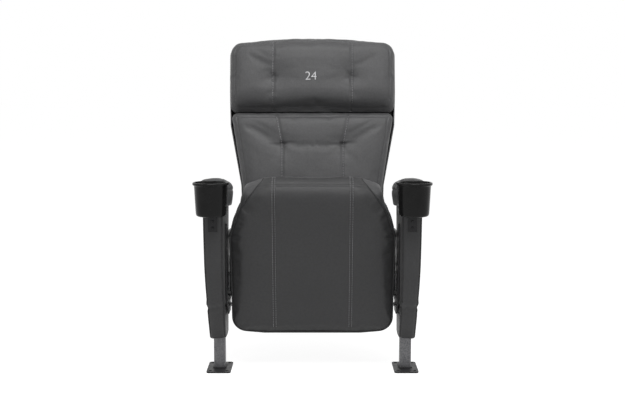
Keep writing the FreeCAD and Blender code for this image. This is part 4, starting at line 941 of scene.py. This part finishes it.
def folds_at(at, x, z, count, reach, seed):
    """Small folds that run out from a tuft."""
    off = np.sqrt((at[:, 0] - x) ** 2 + (at[:, 2] - z) ** 2)
    turn = np.arctan2(at[:, 2] - z, at[:, 0] - x)
    return np.cos(turn * count + seed) * np.exp(-off / reach) * np.clip(off / 0.012, 0, 1)


# Lumbar cushion: the lower of the two back cushions. Foam in leatherette, tufted at two points, with
# two seams that run in to the tufts and then down, sewn with a pale thread.
LUMBAR_LOW, LUMBAR_HIGH = 0.018, 0.403
LUMBAR_FACE = -0.027
LUMBAR_TUFTS = [(-0.0975, 0.296), (0.0975, 0.296)]
lumbar_rows = [(0.037, 0.001), (0.010, 0.0), (-0.006, 0.0), (-0.013, 0.002), (-0.019, 0.006), (-0.0235, 0.012),
               (-0.0265, 0.021), (-0.0295, 0.045), (-0.0315, 0.08)]
lumbar = back_pad("lumbar_cover", lumbar_rows, LUMBAR_LOW, LUMBAR_HIGH, 0.016, 0.018, 0.002, back_cover_with_painted_light)
remeshed(lumbar, 0.005)
at = positions(lumbar)
for x, z in LUMBAR_TUFTS:
    at[:, 1] += drawn_in(at, x, z, LUMBAR_FACE, 0.009, 0.020)
move_to(lumbar, at)
held = np.clip((at[:, 1] - 0.004) / 0.012, 0, 1)
for x, z in LUMBAR_TUFTS:
    held = np.maximum(held, (np.hypot(at[:, 0] - x, at[:, 2] - z) < 0.006) * 1.0)
stuffed(lumbar, held, 0.006, pressure=3.0, slack=0.003)
finer(lumbar)


def lumbar_seam_x(z):
    """How far the lumbar seams are from the middle at a height."""
    return np.where(z > 0.296, 0.0965 + 0.021 * np.clip((z - 0.296) / 0.107, 0, 1), 0.0965)


at, out = positions(lumbar), directions(lumbar)
front = np.clip((-out[:, 1] - 0.45) / 0.3, 0, 1)
groove = 0.0030 * cup_of(np.abs(at[:, 0]), lumbar_seam_x(at[:, 2]), 0.0065)
outline = back_ring(LUMBAR_LOW, LUMBAR_HIGH, 0, 0.016, 0.018, 0.002)
edge = ring_distance(at[:, [0, 2]], outline)
groove = np.maximum(groove, 0.0022 * cup_of(edge, 0.0165, 0.0045))
swell = ripples(at[:, 0] * 9, at[:, 2] * 9, 2.2)
pucker = ripples(at[:, 0] * 18, at[:, 2] * 75, 4.1) * cup_of(np.abs(at[:, 0]), lumbar_seam_x(at[:, 2]), 0.03)
edge_pull = ripples(at[:, 0] * 42, at[:, 2] * 42, 6.3) * np.clip(1 - edge / 0.045, 0, 1)
crease = np.zeros(len(at))
for x, z in LUMBAR_TUFTS:
    run = np.clip(1 - np.abs(at[:, 0] - x) / 0.05, 0, 1)
    crease += 0.0034 * run * cup_of(at[:, 2], z + 0.003 * np.sin((at[:, 0] - x) * 60), 0.009)
    crease += 0.0011 * folds_at(at, x, z, 5, 0.022, 1.2 * x)
inward = front * (groove + crease + 0.0013 * swell + 0.0008 * pucker) + 0.0009 * edge_pull
at -= out * inward[:, None]
lumbar_tree = BVHTree.FromPolygons([tuple(p) for p in at], [tuple(p.vertices) for p in lumbar.data.polygons])
move_to(lumbar, in_row(at, BACK_FRAME))
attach(lumbar, "back")
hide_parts("lumbar_cushion")
for seam_name, side in SIDES.items():
    heights = np.arange(0.030, 0.392, 0.004)
    starts = [(side * float(lumbar_seam_x(z)) + side * 0.0035, -0.3, z) for z in heights]
    path, out = laid_on(lumbar_tree, starts, (0, 1, 0))
    row = thread_row(f"lumbar_thread_{seam_name}", in_row(path, BACK_FRAME), turned_out(out, BACK_FRAME),
                     BACK_STITCH, thread_finish)
    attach(row, "back")

# Headrest: a deeper cushion that stands before the lumbar and rolls under at its bottom edge. It has
# two tufts, a seam up through each and one along its top edge, and a plain seat number.
HEAD_LOW, HEAD_HIGH = 0.407, 0.633
HEAD_FACE = -0.047
HEAD_SEAM_X = 0.1265
HEAD_TUFTS = [(-HEAD_SEAM_X, 0.518), (HEAD_SEAM_X, 0.518)]
HEAD_ARCH = 0.0185
head_rows = [(0.037, 0.001), (0.005, 0.0), (-0.016, 0.0), (-0.028, 0.002), (-0.036, 0.006), (-0.042, 0.012),
             (-0.0455, 0.020), (-0.0485, 0.038), (-0.051, 0.070)]
headrest = back_pad("headrest_cover", head_rows, HEAD_LOW, HEAD_HIGH, 0.018, 0.038, HEAD_ARCH, back_cover_with_painted_light)
remeshed(headrest, 0.005)
at = positions(headrest)
roll = np.clip(1 - (at[:, 2] - HEAD_LOW) / 0.060, 0, 1)
at[:, 1] += 0.020 * roll**2 * np.clip((0.0 - at[:, 1]) / 0.03, 0, 1)
for x, z in HEAD_TUFTS:
    at[:, 1] += drawn_in(at, x, z, HEAD_FACE, 0.014, 0.026)
move_to(headrest, at)
held = np.clip((at[:, 1] - 0.004) / 0.012, 0, 1)
for x, z in HEAD_TUFTS:
    held = np.maximum(held, (np.hypot(at[:, 0] - x, at[:, 2] - z) < 0.006) * 1.0)
stuffed(headrest, held, 0.006, pressure=3.0, slack=0.003)
finer(headrest)
at = positions(headrest)
roll = np.clip(1 - (at[:, 2] - HEAD_LOW) / 0.075, 0, 1)
at[:, 1] += 0.022 * roll**2 * np.clip((0.0 - at[:, 1]) / 0.03, 0, 1)
move_to(headrest, at)
out = directions(headrest)
front = np.clip((-out[:, 1] - 0.3) / 0.3, 0, 1)
outline = back_ring(HEAD_LOW, HEAD_HIGH, 0, 0.018, 0.038, HEAD_ARCH)
edge = ring_distance(at[:, [0, 2]], outline)
groove = 0.0028 * cup_of(np.abs(at[:, 0]), HEAD_SEAM_X, 0.0065)
groove = np.maximum(groove, 0.0026 * cup_of(edge, 0.0165, 0.0045) * (at[:, 2] > 0.44))
swell = ripples(at[:, 0] * 9, at[:, 2] * 10, 7.2)
pucker = ripples(at[:, 0] * 18, at[:, 2] * 75, 9.1) * cup_of(np.abs(at[:, 0]), HEAD_SEAM_X, 0.03)
edge_pull = ripples(at[:, 0] * 42, at[:, 2] * 42, 3.3) * np.clip(1 - edge / 0.045, 0, 1)
crease = np.zeros(len(at))
for x, z in HEAD_TUFTS:
    crease += 0.0008 * folds_at(at, x, z, 5, 0.022, 0.9 + 2 * x)
inward = front * (groove + crease + 0.0013 * swell + 0.0008 * pucker) + 0.0009 * edge_pull
at -= out * inward[:, None]
head_tree = BVHTree.FromPolygons([tuple(p) for p in at], [tuple(p.vertices) for p in headrest.data.polygons])
move_to(headrest, in_row(at, BACK_FRAME))
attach(headrest, "back")
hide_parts("headrest_cushion")
for seam_name, side in SIDES.items():
    heights = np.arange(0.430, 0.640, 0.004)
    path, out = laid_on(head_tree, [(side * 0.1300, -0.3, z) for z in heights], (0, 1, 0))
    row = thread_row(f"headrest_thread_{seam_name}", in_row(path, BACK_FRAME), turned_out(out, BACK_FRAME),
                     BACK_STITCH, thread_finish)
    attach(row, "back")

number_finish = metal("number_print", (0.62, 0.62, 0.63), (0.54, 0.54, 0.55), 0.5, 0.0, 400, depth=0.00005)
text = bpy.data.curves.new("seat_number", "FONT")
text.body = "24"
text.size = 0.040
text.align_x = "CENTER"
text.align_y = "CENTER"
text.extrude = 0.0006
text.offset = -0.0005
text.resolution_u = 6
letters = bpy.data.objects.new("number_source", text)
scene.collection.objects.link(letters)
view = bpy.context.evaluated_depsgraph_get()
number_mesh = bpy.data.meshes.new_from_object(letters.evaluated_get(view), depsgraph=view)
bpy.data.objects.remove(letters)
number = bpy.data.objects.new("seat_number", number_mesh)
scene.collection.objects.link(number)
number_mesh.materials.clear()
number_mesh.materials.append(number_finish)
fine = bmesh.new()
fine.from_mesh(number_mesh)
bmesh.ops.triangulate(fine, faces=fine.faces)
fine.to_mesh(number_mesh)
fine.free()
placed = []
for p in positions(number):
    x, z = p[0] - 0.005, p[1] + 0.5155
    hit = head_tree.ray_cast(Vector((x, -0.3, z)), Vector((0, 1, 0)))[0]
    placed.append((x, hit.y - 0.0001 - max(p[2], -0.0003), z))
move_to(number, in_row(np.array(placed), BACK_FRAME))
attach(number, "back")

# Rear cover: a shallow moulded shell in matte black plastic with a fine spark texture, held to the
# uprights by six screws.
shell_plastic = metal("shell_plastic", (0.030, 0.030, 0.031), (0.038, 0.038, 0.039), 0.55, 0.0, 35,
                      edge=0.001, depth=0.0004)
dress(shell_plastic, "back_shell")
dress(zinc, "shell_screws")
